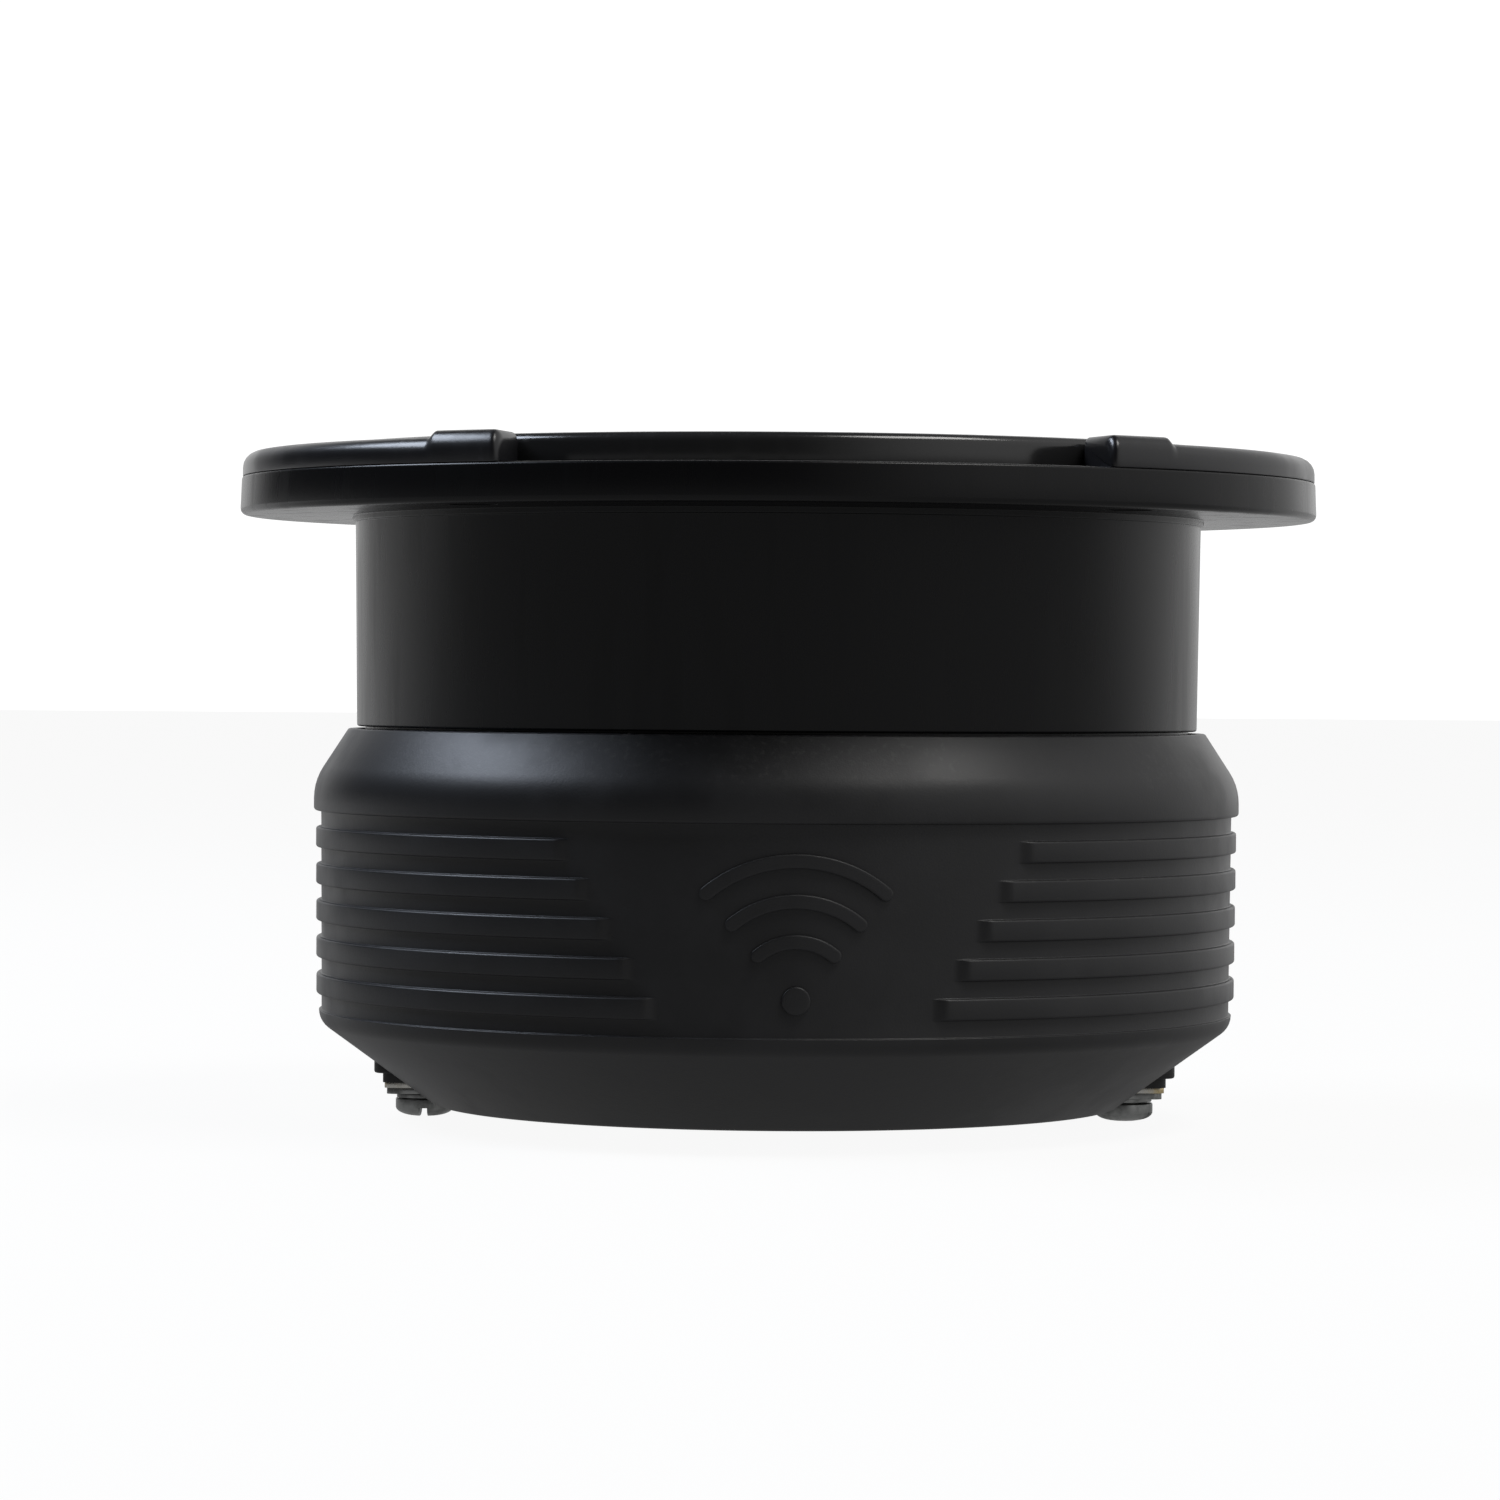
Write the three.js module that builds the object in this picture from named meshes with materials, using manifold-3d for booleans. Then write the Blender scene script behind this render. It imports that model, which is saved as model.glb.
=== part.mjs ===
// Bullet super tweeter standing on its rear foot: a ring-diaphragm motor inside a ribbed rubber boot,
// a black horn with a mounting flange, a bullet-shaped phase plug and two screw terminals.
// Millimetres and degrees, +Z towards the horn mouth, origin at the centre of the rear foot's face.
// Angles run about +Z from the front, -Y, towards +X.
import * as THREE from 'three';
import { mergeVertices } from 'three/addons/utils/BufferGeometryUtils.js';
import Module from 'manifold-3d';

const wasm = await Module();
wasm.setup();

// ---- Driving dimensions ----
const FIT = { slide: 0.3, thread: 0.15, bond: 0.05, seam: 0.2 };
const FACETS = { large: 48, medium: 36, small: 12, fillet: 45, wire: 8 };

const MAGNET = { radius: 40, poleGap: 5.5, thickness: 10.1, count: 2 };
const BACK_PLATE = { inset: 1, thickness: 6, land: 0.2, nutRecess: 3.2 };
const TOP_PLATE = { inset: 0.2, thickness: 6 };
const COIL = { formerRadius: 22.2, formerWall: 0.15, formerHeight: 6.2 };
const WINDING = { wall: 0.35, height: 3.6 };
const GAP = { inner: 0.3, outer: 0.35 };
const SHORTING_RING = { wall: 0.4 };
const FELT = { height: 4 };
const FILM = { thickness: 0.25, lip: 1.6, clamped: 3.2 };
const DIAPHRAGM = { halfWidth: 3.05, rise: 0.6, lift: 0.4, wall: 0.25 };
const CARRIER = { thickness: 1.35 };
const INNER_CLAMP = { bore: 8 };
const STUD = { radius: 2.5, grip: 12, nutHeight: 3, nutFlats: 8 };

const FOOT = { radius: 13, height: 1.55, edge: 0.5 };
const BOOT = { floor: 2.2, wall: 3.55, chamferWall: 2.2, draft: 0.15, chamferAngle: 54, baseEdge: 0.8 };
const LIP = { proud: 0.25, land: 1.08, round: 2 };
const SHOULDER = { proud: 0.7, height: 7.9, taperAngle: 33, round: 5.5, rimWall: 1.1, edge: 0.3 };
const RIB = { count: 5, width: 1.95, height: 0.5, blankAngle: 17.8, blankStep: 3.1, blankTurn: 2.2, root: 1 };
const EMBLEM = { arcs: 3, firstRadius: 4.6, spacing: 3.6, stroke: 1.3, halfAngle: 40, dot: 1.3, relief: 0.4,
  root: 1.5, foot: 3.4 };

const HORN = { wall: 2.2, slot: 2.4, mouthInset: 2.35, flarePower: 1.6, flareSteps: 6, hollowLid: 6.85 };
const BARREL = { step: 0.8, length: 20.25, draft: 0.25, wall: 2.5, edge: 0.2, bootLap: 0.15 };
const COLLAR = { proud: 0.3, height: 0.6, edge: 0.15 };
const FLANGE = { width: 11.1, thickness: 3.65, draft: 0.15, rearEdge: 0.6, frontEdge: 0.3 };
const MOUTH_RING = { width: 5.9, height: 2.9, flare: 3.4, round: 0.9, lipRound: 0.7 };
const COVER = { height: 2.35, pad: 0.6, padWidth: 7.15, inset: 0.1, round: 1.5, innerRound: 0.3 };
const NOTCH = { turn: 3.2, angle: 32, slant: 16 };
const PEG = { radius: 1.2, length: 2.4, angle: 20 };
const MOUNT_HOLE = { radius: 2.2, headRadius: 3.2, sinkDepth: 1 };
const BULLET = { tipDrop: 1.35, power: 1.5, fullness: 0.62, steps: 10, socketSlack: 0.6 };

const HORN_SCREW = { count: 4, angle: 45, radius: 1.5, headRadius: 3, headDepth: 1.6, grip: 9 };
const BOSS = { radius: 3.4, height: 12, wallGap: 1.1, webWidth: 2.4 };

const TERMINAL = { outset: 0.9, drop: 1.45 };
const SCREW = { radius: 1.5, headRadius: 2.8, headHeight: 1.8, headRound: 0.8, restTurn: { left: 0, right: 62 } };
const SLOT = { width: 0.8, depth: 0.9 };
const LOCK_WASHER = { radius: 2.7, thickness: 0.5, split: 0.7 };
const CLAMP = { length: 7, width: 6.4, thickness: 0.6, corner: 0.8 };
const TAB = { length: 7.4, width: 6.8, thickness: 0.6, corner: 0.6 };
const NUT = { flats: 5.5, height: 2.4, cover: 0.95 };
const WINDOW = { length: 8.4, width: 10.4, offset: -0.1, corner: 1.4, rimWall: 0.8, rimDrop: 2.55 };
const LEAD = { radius: 0.4, slack: 0.3, standoff: 0.85, seat: 4.3, bend: 2.6, steps: 20 };

// ---- Planes along the axis ----
const bootBottom = FOOT.height;
const plateRear = bootBottom + BOOT.floor;
const magnetRear = plateRear + BACK_PLATE.thickness;
const topPlateRear = magnetRear + MAGNET.count * MAGNET.thickness;
const plateFront = topPlateRear + TOP_PLATE.thickness;
const carrierRear = plateFront + FILM.thickness;
const hornRear = carrierRear + CARRIER.thickness;
const bootTop = hornRear + BARREL.bootLap;
const seam = bootTop + FIT.seam;
const flangeRear = seam + BARREL.length;
const flangeFront = flangeRear + FLANGE.thickness;
const coverFront = flangeFront + COVER.height;
const padFront = coverFront + COVER.pad;
const mouthFront = flangeFront + MOUTH_RING.height;
const shoulderRear = bootTop - SHOULDER.height;
const screwFace = bootBottom - TERMINAL.drop;
const washerRear = screwFace + SCREW.headHeight;
const clampRear = washerRear + LOCK_WASHER.thickness;
const tabRear = clampRear + CLAMP.thickness;
const blockRear = tabRear + TAB.thickness;
const nutRear = blockRear + NUT.cover;
const blockFront = nutRear + NUT.height;

// ---- Radii ----
const topPlateRadius = MAGNET.radius - TOP_PLATE.inset;
const backPlateRadius = MAGNET.radius - BACK_PLATE.inset;
const bootInner = MAGNET.radius + FIT.slide;
const bandRear = bootInner + BOOT.wall;
const bandFront = bandRear + BOOT.draft;
const lipRadius = bandRear + LIP.proud;
const shoulderRadius = bandFront + SHOULDER.proud;
const rimRadius = bootInner + SHOULDER.rimWall;
const barrelRear = topPlateRadius + BARREL.step;
const barrelFront = barrelRear + BARREL.draft;
const barrelInner = barrelRear - BARREL.wall;
const flangeRadius = barrelFront + FLANGE.width;
const flangeFrontRadius = flangeRadius - FLANGE.draft;
const mouthRadius = barrelFront - HORN.mouthInset;
const mouthRingRadius = mouthRadius + MOUTH_RING.width;
const coverRadius = flangeFrontRadius - COVER.inset;
const coverInner = mouthRingRadius + FIT.slide;
const mountRadius = (coverInner + coverRadius) / 2;
const notchSlant = THREE.MathUtils.degToRad(NOTCH.slant);
const notchOffset = coverRadius * Math.sin(THREE.MathUtils.degToRad(NOTCH.angle) - notchSlant);
const padMiddle = Math.asin((notchOffset + COVER.padWidth / 2) / mountRadius);
const mountOffset = THREE.MathUtils.radToDeg(notchSlant + padMiddle);
const windingInner = COIL.formerRadius + COIL.formerWall + FIT.bond;
const windingOuter = windingInner + WINDING.wall;
const shortingRadius = COIL.formerRadius - GAP.inner;
const poleRadius = shortingRadius - SHORTING_RING.wall;
const magnetBore = poleRadius + MAGNET.poleGap;
const gapRadius = windingOuter + GAP.outer;
const slotRadius = COIL.formerRadius + COIL.formerWall / 2;
const bulletRadius = slotRadius - HORN.slot / 2;
const throatRadius = slotRadius + HORN.slot / 2;
const diaphragmInner = slotRadius - DIAPHRAGM.halfWidth;
const diaphragmOuter = slotRadius + DIAPHRAGM.halfWidth;
const carrierBore = diaphragmOuter + FILM.lip;
const bossRadius = barrelInner - BOSS.radius - BOSS.wallGap;
const chamferAngle = THREE.MathUtils.degToRad(BOOT.chamferAngle);
const chamferSlope = Math.tan(chamferAngle);
const bootChamferInner = bootInner - (BACK_PLATE.thickness - BACK_PLATE.land) * chamferSlope;
const bootBaseRadius = bootChamferInner - BOOT.floor * chamferSlope
  + BOOT.chamferWall / Math.cos(chamferAngle);
const terminalRadius = bootBaseRadius + TERMINAL.outset;
const bevelStart = bootChamferInner - FIT.slide / Math.cos(chamferAngle);
const leadRadius = MAGNET.radius + LEAD.standoff;

// ---- Finishes ----
function finish(color, roughness, metalness) {
  return new THREE.MeshStandardMaterial({ color, roughness, metalness });
}

const BLACK_RUBBER = finish(0x1b1b1d, 0.62, 0);
const SATIN_BLACK = finish(0x0f0f11, 0.38, 0);
const GLOSS_BLACK = finish(0x0b0b0c, 0.15, 0);
const MAGNET_CERAMIC = finish(0x2f2f31, 0.8, 0);
const PLATED_STEEL = finish(0xa5a7a8, 0.35, 1);
const COPPER = finish(0xb8703f, 0.35, 1);
const SPUN_ALUMINIUM = finish(0xc9cbcd, 0.25, 1);
const PHENOLIC = finish(0x6b3a1e, 0.7, 0);
const FELT_GREY = finish(0x77767a, 0.95, 0);
const BRASS = finish(0xb89a55, 0.4, 1);
const NYLON = finish(0x1a1a1a, 0.55, 0);

// ---- Outlines ----
const point = (x, y) => new THREE.Vector2(x, y);

// A point at a radius and an angle from the front.
function polar(radius, degrees) {
  const angle = THREE.MathUtils.degToRad(degrees);
  return point(radius * Math.sin(angle), -radius * Math.cos(angle));
}

// The points of a fillet at a corner, tangent to the sides that lead to its two neighbours.
function filletPoints(before, corner, after, radius) {
  const back = before.clone().sub(corner).normalize();
  const ahead = after.clone().sub(corner).normalize();
  const half = Math.acos(THREE.MathUtils.clamp(back.dot(ahead), -1, 1)) / 2;
  const tangent = radius / Math.tan(half);
  const centre = corner.clone().addScaledVector(back.clone().add(ahead).normalize(), radius / Math.sin(half));
  const first = back.clone().multiplyScalar(tangent).add(corner).sub(centre);
  const last = ahead.clone().multiplyScalar(tangent).add(corner).sub(centre);
  const turn = Math.atan2(first.cross(last), first.dot(last));
  const steps = Math.max(1, Math.ceil(Math.abs(turn) / THREE.MathUtils.degToRad(FACETS.fillet)));
  const points = [];
  for (let i = 0; i <= steps; i += 1) {
    points.push(first.clone().rotateAround(point(0, 0), (turn * i) / steps).add(centre));
  }
  return points;
}

// Corners are [x, y] or [x, y, fillet radius], in order round the outline.
function outline(corners) {
  const plain = corners.map(([x, y]) => point(x, y));
  return corners.flatMap(([, , fillet], i) => {
    if (!fillet) {
      return [plain[i]];
    }
    const before = plain[(i + plain.length - 1) % plain.length];
    const after = plain[(i + 1) % plain.length];
    return filletPoints(before, plain[i], after, fillet);
  });
}

function roundedRectangle(length, width, corner) {
  const x = length / 2;
  const y = width / 2;
  return outline([[-x, -y, corner], [x, -y, corner], [x, y, corner], [-x, y, corner]]);
}

function hexagon(flats) {
  const radius = flats / Math.sqrt(3);
  return [0, 60, 120, 180, 240, 300].map((degrees) => polar(radius, degrees));
}

function circle(radius, facets) {
  return Array.from({ length: facets }, (_, i) => polar(radius, (360 * i) / facets));
}

// A band between two radii, from one angle to another.
function sector(inner, outer, from, to) {
  const steps = Math.ceil((to - from) / (360 / FACETS.large));
  const angles = Array.from({ length: steps + 1 }, (_, i) => from + ((to - from) * i) / steps);
  return [
    ...angles.map((degrees) => polar(outer, degrees)),
    ...angles.reverse().map((degrees) => polar(inner, degrees)),
  ];
}

// ---- Solids ----
// A closed three.js geometry as a solid that can be joined and cut.
function solidOf(geometry) {
  geometry.deleteAttribute('normal');
  geometry.deleteAttribute('uv');
  const merged = mergeVertices(geometry);
  const corners = merged.index.array;
  const triangles = [];
  for (let i = 0; i < corners.length; i += 3) {
    const [a, b, c] = corners.slice(i, i + 3);
    if (a !== b && b !== c && c !== a) {
      triangles.push(a, b, c);
    }
  }
  const vertProperties = merged.attributes.position.array;
  const triVerts = Uint32Array.from(triangles);
  return new wasm.Manifold(new wasm.Mesh({ numProp: 3, vertProperties, triVerts }));
}

function geometryOf(solid) {
  const { vertProperties, triVerts } = solid.getMesh();
  const geometry = new THREE.BufferGeometry();
  geometry.setAttribute('position', new THREE.BufferAttribute(vertProperties, 3));
  geometry.setIndex(new THREE.BufferAttribute(triVerts, 1));
  geometry.computeVertexNormals();
  return geometry;
}

// Turns an outline of (radius, z) about the Z axis. A ring's outline closes on itself.
function revolve(points, facets) {
  return new THREE.LatheGeometry(points, facets).rotateX(Math.PI / 2);
}

function turned(corners, facets = FACETS.large) {
  return solidOf(revolve(outline(corners), facets));
}

function ring(corners, facets = FACETS.large) {
  const points = outline(corners);
  return solidOf(revolve([...points, points[0]], facets));
}

function plainRing(inner, outer, rear, front, facets = FACETS.large) {
  return ring([[inner, rear], [outer, rear], [outer, front], [inner, front]], facets);
}

function rod(radius, rear, front, facets = FACETS.small) {
  return turned([[0, rear], [radius, rear], [radius, front], [0, front]], facets);
}

// An outline in X and Y extruded from one plane to another, moved out along X and turned about Z.
function prism(points, rear, front, { out = 0, degrees = 0 } = {}) {
  const shape = new THREE.Shape(points);
  const geometry = new THREE.ExtrudeGeometry(shape, { depth: front - rear, bevelEnabled: false });
  geometry.translate(out, 0, rear);
  geometry.rotateZ(THREE.MathUtils.degToRad(degrees));
  return solidOf(geometry);
}

const joined = (solids) => solids.reduce((whole, piece) => whole.add(piece));
const cutBy = (solid, cutters) => cutters.reduce((rest, cutter) => rest.subtract(cutter), solid);

// ---- Model ----
const tweeter = new THREE.Group();

function addPart(name, solid, material, degrees = 0) {
  const mesh = new THREE.Mesh(geometryOf(solid), material);
  mesh.name = name;
  mesh.rotation.z = THREE.MathUtils.degToRad(degrees);
  tweeter.add(mesh);
}

// The terminals are on the right, +X, and on the left, half a turn away.
const SIDES = { right: 0, left: 180 };
const sideAngles = Object.values(SIDES);
const screwStep = 360 / HORN_SCREW.count;
const screwAngles = Array.from({ length: HORN_SCREW.count }, (_, i) => HORN_SCREW.angle + i * screwStep);
const notchCentres = [NOTCH.turn, NOTCH.turn + 180];
const mountAngles = notchCentres.flatMap((centre) => [centre - mountOffset, centre + mountOffset]);

// A round hole or pin at a radius and an angle from the front.
const atAngle = (radius, degrees) => ({ out: radius, degrees: degrees - 90 });

// ---- Motor ----
function leadPath() {
  const start = new THREE.Vector3(terminalRadius + NUT.flats / 2, 0, blockFront + LEAD.radius);
  const heel = new THREE.Vector3(leadRadius, 0, start.z);
  const low = new THREE.Vector3(leadRadius, 0, magnetRear);
  const high = new THREE.Vector3(leadRadius, 0, carrierRear + CARRIER.thickness / 2 - LEAD.bend);
  const corner = new THREE.Vector3(leadRadius, 0, carrierRear + CARRIER.thickness / 2);
  const turnIn = new THREE.Vector3(leadRadius - LEAD.bend, 0, corner.z);
  const end = new THREE.Vector3(carrierBore + LEAD.seat, 0, corner.z);
  const path = new THREE.CurvePath();
  path.add(new THREE.QuadraticBezierCurve3(start, heel, low));
  path.add(new THREE.LineCurve3(low, high));
  path.add(new THREE.QuadraticBezierCurve3(high, corner, turnIn));
  path.add(new THREE.LineCurve3(turnIn, end));
  return path;
}

function tubeAlongLead(radius) {
  const section = new THREE.Shape(circle(radius, FACETS.wire));
  return new THREE.ExtrudeGeometry(section, { steps: LEAD.steps, extrudePath: leadPath() });
}

function leadChannels() {
  return sideAngles.map((degrees) => {
    const tube = tubeAlongLead(LEAD.radius + LEAD.slack);
    return solidOf(tube.rotateZ(THREE.MathUtils.degToRad(degrees)));
  });
}

function terminalPocket(margin, rear, front, degrees) {
  const length = WINDOW.length + 2 * margin;
  const width = WINDOW.width + 2 * margin;
  const out = terminalRadius + WINDOW.offset;
  return prism(roundedRectangle(length, width, WINDOW.corner), rear, front, { out, degrees });
}

function buildBackPlate() {
  const disc = plainRing(STUD.radius + FIT.slide, backPlateRadius, plateRear, magnetRear);
  const bevel = turned([
    [0, plateRear],
    [bevelStart, plateRear],
    [bevelStart + BACK_PLATE.thickness * chamferSlope, magnetRear],
    [0, magnetRear],
  ]);
  const plate = disc.intersect(bevel);
  const nutRecess = rod(STUD.nutFlats, plateRear - FIT.slide, plateRear + BACK_PLATE.nutRecess);
  const pocketTop = blockFront + FIT.slide;
  const pockets = sideAngles.map((degrees) => terminalPocket(FIT.slide, bootBottom, pocketTop, degrees));
  addPart('back_plate', cutBy(plate, [nutRecess, ...pockets, ...leadChannels()]), PLATED_STEEL);
}

function buildMagnets() {
  for (let i = 0; i < MAGNET.count; i += 1) {
    const rear = magnetRear + i * MAGNET.thickness;
    const magnet = plainRing(magnetBore, MAGNET.radius, rear, rear + MAGNET.thickness);
    addPart(`magnet_ring_${i + 1}`, magnet, MAGNET_CERAMIC);
  }
}

function buildPole() {
  const pole = plainRing(STUD.radius + FIT.slide, poleRadius, magnetRear, plateFront, FACETS.medium);
  addPart('pole_piece', pole, PLATED_STEEL);
  const shorting = plainRing(poleRadius + FIT.bond, shortingRadius, topPlateRear, plateFront, FACETS.medium);
  addPart('shorting_ring', shorting, COPPER);
  const felt = plainRing(poleRadius + FIT.slide, magnetBore - FIT.slide, magnetRear, magnetRear + FELT.height,
    FACETS.medium);
  addPart('damping_felt', felt, FELT_GREY);
}

function hornScrewHoles(rear, front) {
  const hole = circle(HORN_SCREW.radius + FIT.slide, FACETS.small);
  return screwAngles.map((degrees) => prism(hole, rear, front, atAngle(bossRadius, degrees)));
}

// The countersunk form of a screw head or of the seat that takes it, pointing forwards.
function countersink(headRadius, shankRadius, rear, depth, degrees) {
  const front = rear + depth;
  const section = outline([[0, rear], [headRadius, rear], [shankRadius, front], [0, front]]);
  const geometry = revolve(section, FACETS.small);
  const place = polar(bossRadius, degrees);
  return solidOf(geometry.translate(place.x, place.y, 0));
}

function buildTopPlate() {
  const plate = plainRing(gapRadius, topPlateRadius, topPlateRear, plateFront);
  const seats = screwAngles.map((degrees) => countersink(HORN_SCREW.headRadius + FIT.slide,
    HORN_SCREW.radius + FIT.slide, topPlateRear, HORN_SCREW.headDepth, degrees));
  addPart('top_plate', cutBy(plate, [...hornScrewHoles(topPlateRear, plateFront), ...seats]), PLATED_STEEL);
}

function buildHornScrews() {
  screwAngles.forEach((degrees, i) => {
    const shank = prism(circle(HORN_SCREW.radius, FACETS.small), topPlateRear + FIT.bond,
      hornRear + HORN_SCREW.grip, atAngle(bossRadius, degrees));
    const head = countersink(HORN_SCREW.headRadius, HORN_SCREW.radius, topPlateRear + FIT.bond,
      HORN_SCREW.headDepth, degrees);
    addPart(`horn_screw_${i + 1}`, shank.add(head), PLATED_STEEL);
  });
}

// ---- Diaphragm and its clamping ----
function buildDiaphragm() {
  const edge = plateFront + DIAPHRAGM.lift;
  const crown = edge + DIAPHRAGM.rise;
  const diaphragm = ring([
    [diaphragmInner, edge],
    [slotRadius, crown],
    [diaphragmOuter, edge],
    [diaphragmOuter, edge + DIAPHRAGM.wall],
    [slotRadius, crown + DIAPHRAGM.wall],
    [diaphragmInner, edge + DIAPHRAGM.wall],
  ], FACETS.medium);
  addPart('ring_diaphragm', diaphragm, PHENOLIC);
  const formerFront = crown - FIT.bond - COIL.formerWall;
  const formerRear = formerFront - COIL.formerHeight;
  const former = plainRing(COIL.formerRadius, COIL.formerRadius + COIL.formerWall, formerRear, formerFront,
    FACETS.medium);
  addPart('coil_former', former, PHENOLIC);
  const winding = plainRing(windingInner, windingOuter, formerRear + FIT.slide,
    formerRear + FIT.slide + WINDING.height, FACETS.medium);
  addPart('voice_coil', winding, COPPER);
}

function buildClamping() {
  const screwHoles = hornScrewHoles(plateFront - FIT.slide, hornRear + FIT.slide);
  const outerFilm = plainRing(diaphragmOuter + FIT.slide, carrierBore + FILM.clamped, plateFront, carrierRear,
    FACETS.medium);
  addPart('outer_suspension', cutBy(outerFilm, screwHoles), PHENOLIC);
  const innerFilm = plainRing(INNER_CLAMP.bore, diaphragmInner - FIT.slide, plateFront, carrierRear, FACETS.medium);
  addPart('inner_suspension', innerFilm, PHENOLIC);
  const carrier = plainRing(carrierBore, topPlateRadius, carrierRear, hornRear);
  addPart('diaphragm_carrier', cutBy(carrier, [...screwHoles, ...leadChannels()]), NYLON);
  const clamp = plainRing(INNER_CLAMP.bore, diaphragmInner - FILM.lip, carrierRear, hornRear, FACETS.medium);
  addPart('inner_clamp_ring', clamp, SPUN_ALUMINIUM);
}

// ---- Bullet ----
function bulletOutline(rear, tip) {
  const points = [];
  for (let i = 0; i < BULLET.steps; i += 1) {
    const along = i / BULLET.steps;
    const radius = bulletRadius * (1 - along ** BULLET.power) ** BULLET.fullness;
    points.push([radius, rear + (tip - rear) * along]);
  }
  return points;
}

function buildBullet() {
  const tip = padFront - BULLET.tipDrop;
  const plug = turned([[0, hornRear], ...bulletOutline(hornRear, tip), [0, tip]], FACETS.medium);
  const socket = rod(STUD.radius + FIT.thread, hornRear - FIT.slide, hornRear + STUD.grip + BULLET.socketSlack);
  addPart('bullet_plug', plug.subtract(socket), SPUN_ALUMINIUM);
  const nutFront = plateRear + BACK_PLATE.nutRecess;
  const nutTail = nutFront - STUD.nutHeight;
  addPart('bullet_stud', rod(STUD.radius, nutTail, hornRear + STUD.grip), PLATED_STEEL);
  const nut = prism(hexagon(STUD.nutFlats), nutTail, nutFront);
  const bore = rod(STUD.radius + FIT.thread, nutTail - FIT.slide, nutFront + FIT.slide);
  addPart('stud_nut', nut.subtract(bore), PLATED_STEEL);
}

// ---- Horn ----
function flareRadius(z) {
  const along = (z - hornRear) / (flangeFront - hornRear);
  return throatRadius + (mouthRadius - throatRadius) * along ** HORN.flarePower;
}

// Corners up a flare from one plane to another, standing off it by a wall.
function flareCorners(from, to, wall) {
  return Array.from({ length: HORN.flareSteps + 1 }, (_, i) => {
    const z = from + ((to - from) * i) / HORN.flareSteps;
    return [flareRadius(z) + wall, z];
  });
}

function buildBosses() {
  return screwAngles.flatMap((degrees) => {
    const front = hornRear + BOSS.height;
    const boss = prism(circle(BOSS.radius, FACETS.small), hornRear, front, atAngle(bossRadius, degrees));
    const reach = barrelInner + BARREL.wall / 2 - bossRadius;
    const web = prism(roundedRectangle(reach, BOSS.webWidth, 0), hornRear, front,
      atAngle(bossRadius + reach / 2, degrees));
    return [boss, web];
  });
}

function mountHoles() {
  return mountAngles.flatMap((degrees) => {
    const through = prism(circle(MOUNT_HOLE.radius, FACETS.small), flangeRear - FIT.slide, flangeFront + FIT.slide,
      atAngle(mountRadius, degrees));
    const head = prism(circle(MOUNT_HOLE.headRadius, FACETS.small), flangeFront - MOUNT_HOLE.sinkDepth,
      flangeFront + FIT.slide, atAngle(mountRadius, degrees));
    return [through, head];
  });
}

// Where the pegs of each cover plug into the flange.
const pegAngles = sideAngles.map((side) => side + 90 + NOTCH.turn)
  .map((middle) => [middle - PEG.angle, middle + PEG.angle]);

function pegPrisms(radius, rear, front, angles) {
  const peg = circle(radius, FACETS.small);
  return angles.map((degrees) => prism(peg, rear, front, atAngle(mountRadius, degrees)));
}

function buildHorn() {
  const hollowFront = flangeFront - HORN.hollowLid;
  const shell = ring([
    [throatRadius, hornRear],
    ...flareCorners(hornRear, hollowFront, HORN.wall),
    [barrelInner, hollowFront],
    [barrelInner, hornRear],
    [topPlateRadius, hornRear],
    [topPlateRadius, seam],
    [barrelRear, seam, BARREL.edge],
    [barrelFront, flangeRear - COLLAR.height],
    [barrelFront + COLLAR.proud, flangeRear - COLLAR.height, COLLAR.edge],
    [barrelFront + COLLAR.proud, flangeRear],
    [flangeRadius, flangeRear, FLANGE.rearEdge],
    [flangeFrontRadius, flangeFront, FLANGE.frontEdge],
    ...flareCorners(hornRear, flangeFront, 0).reverse().slice(0, -1),
  ]);
  const pegHoles = pegPrisms(PEG.radius + FIT.slide, flangeFront - PEG.length - FIT.slide,
    flangeFront + FIT.slide, pegAngles.flat());
  const screwHoles = screwAngles.map((degrees) => prism(circle(HORN_SCREW.radius + FIT.thread, FACETS.small),
    hornRear - FIT.slide, hornRear + HORN_SCREW.grip + FIT.slide, atAngle(bossRadius, degrees)));
  const horn = cutBy(joined([shell, ...buildBosses()]), [...mountHoles(), ...pegHoles, ...screwHoles]);
  addPart('horn_body', horn, SATIN_BLACK);
}

function buildMouthRing() {
  const mouth = ring([
    [mouthRadius, flangeFront],
    [mouthRingRadius, flangeFront],
    [mouthRingRadius, mouthFront, MOUTH_RING.round],
    [mouthRadius + MOUTH_RING.flare, mouthFront, MOUTH_RING.lipRound],
  ]);
  addPart('mouth_ring', mouth, GLOSS_BLACK);
}

// The band of a cover up to a plane, before it is cut to its length.
function coverBand(front) {
  return ring([
    [coverInner, flangeFront],
    [coverRadius, flangeFront],
    [coverRadius, front, COVER.round],
    [coverInner, front, COVER.innerRound],
  ]);
}

// The plan of a notch between the covers, widened by an allowance on each side. Its walls lean inwards.
function notchPlan(allowance) {
  const halfWidth = (out) => (notchOffset + allowance + out * Math.sin(notchSlant)) / Math.cos(notchSlant);
  const [near, far] = [halfWidth(0), halfWidth(flangeRadius)];
  return [[-near, 0], [-far, -flangeRadius], [far, -flangeRadius], [near, 0]]
    .map(([x, y]) => new THREE.Vector2(x, y));
}

function notchPrisms(allowance) {
  return notchCentres.map((degrees) => prism(notchPlan(allowance), flangeFront, padFront, { degrees }));
}

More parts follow.
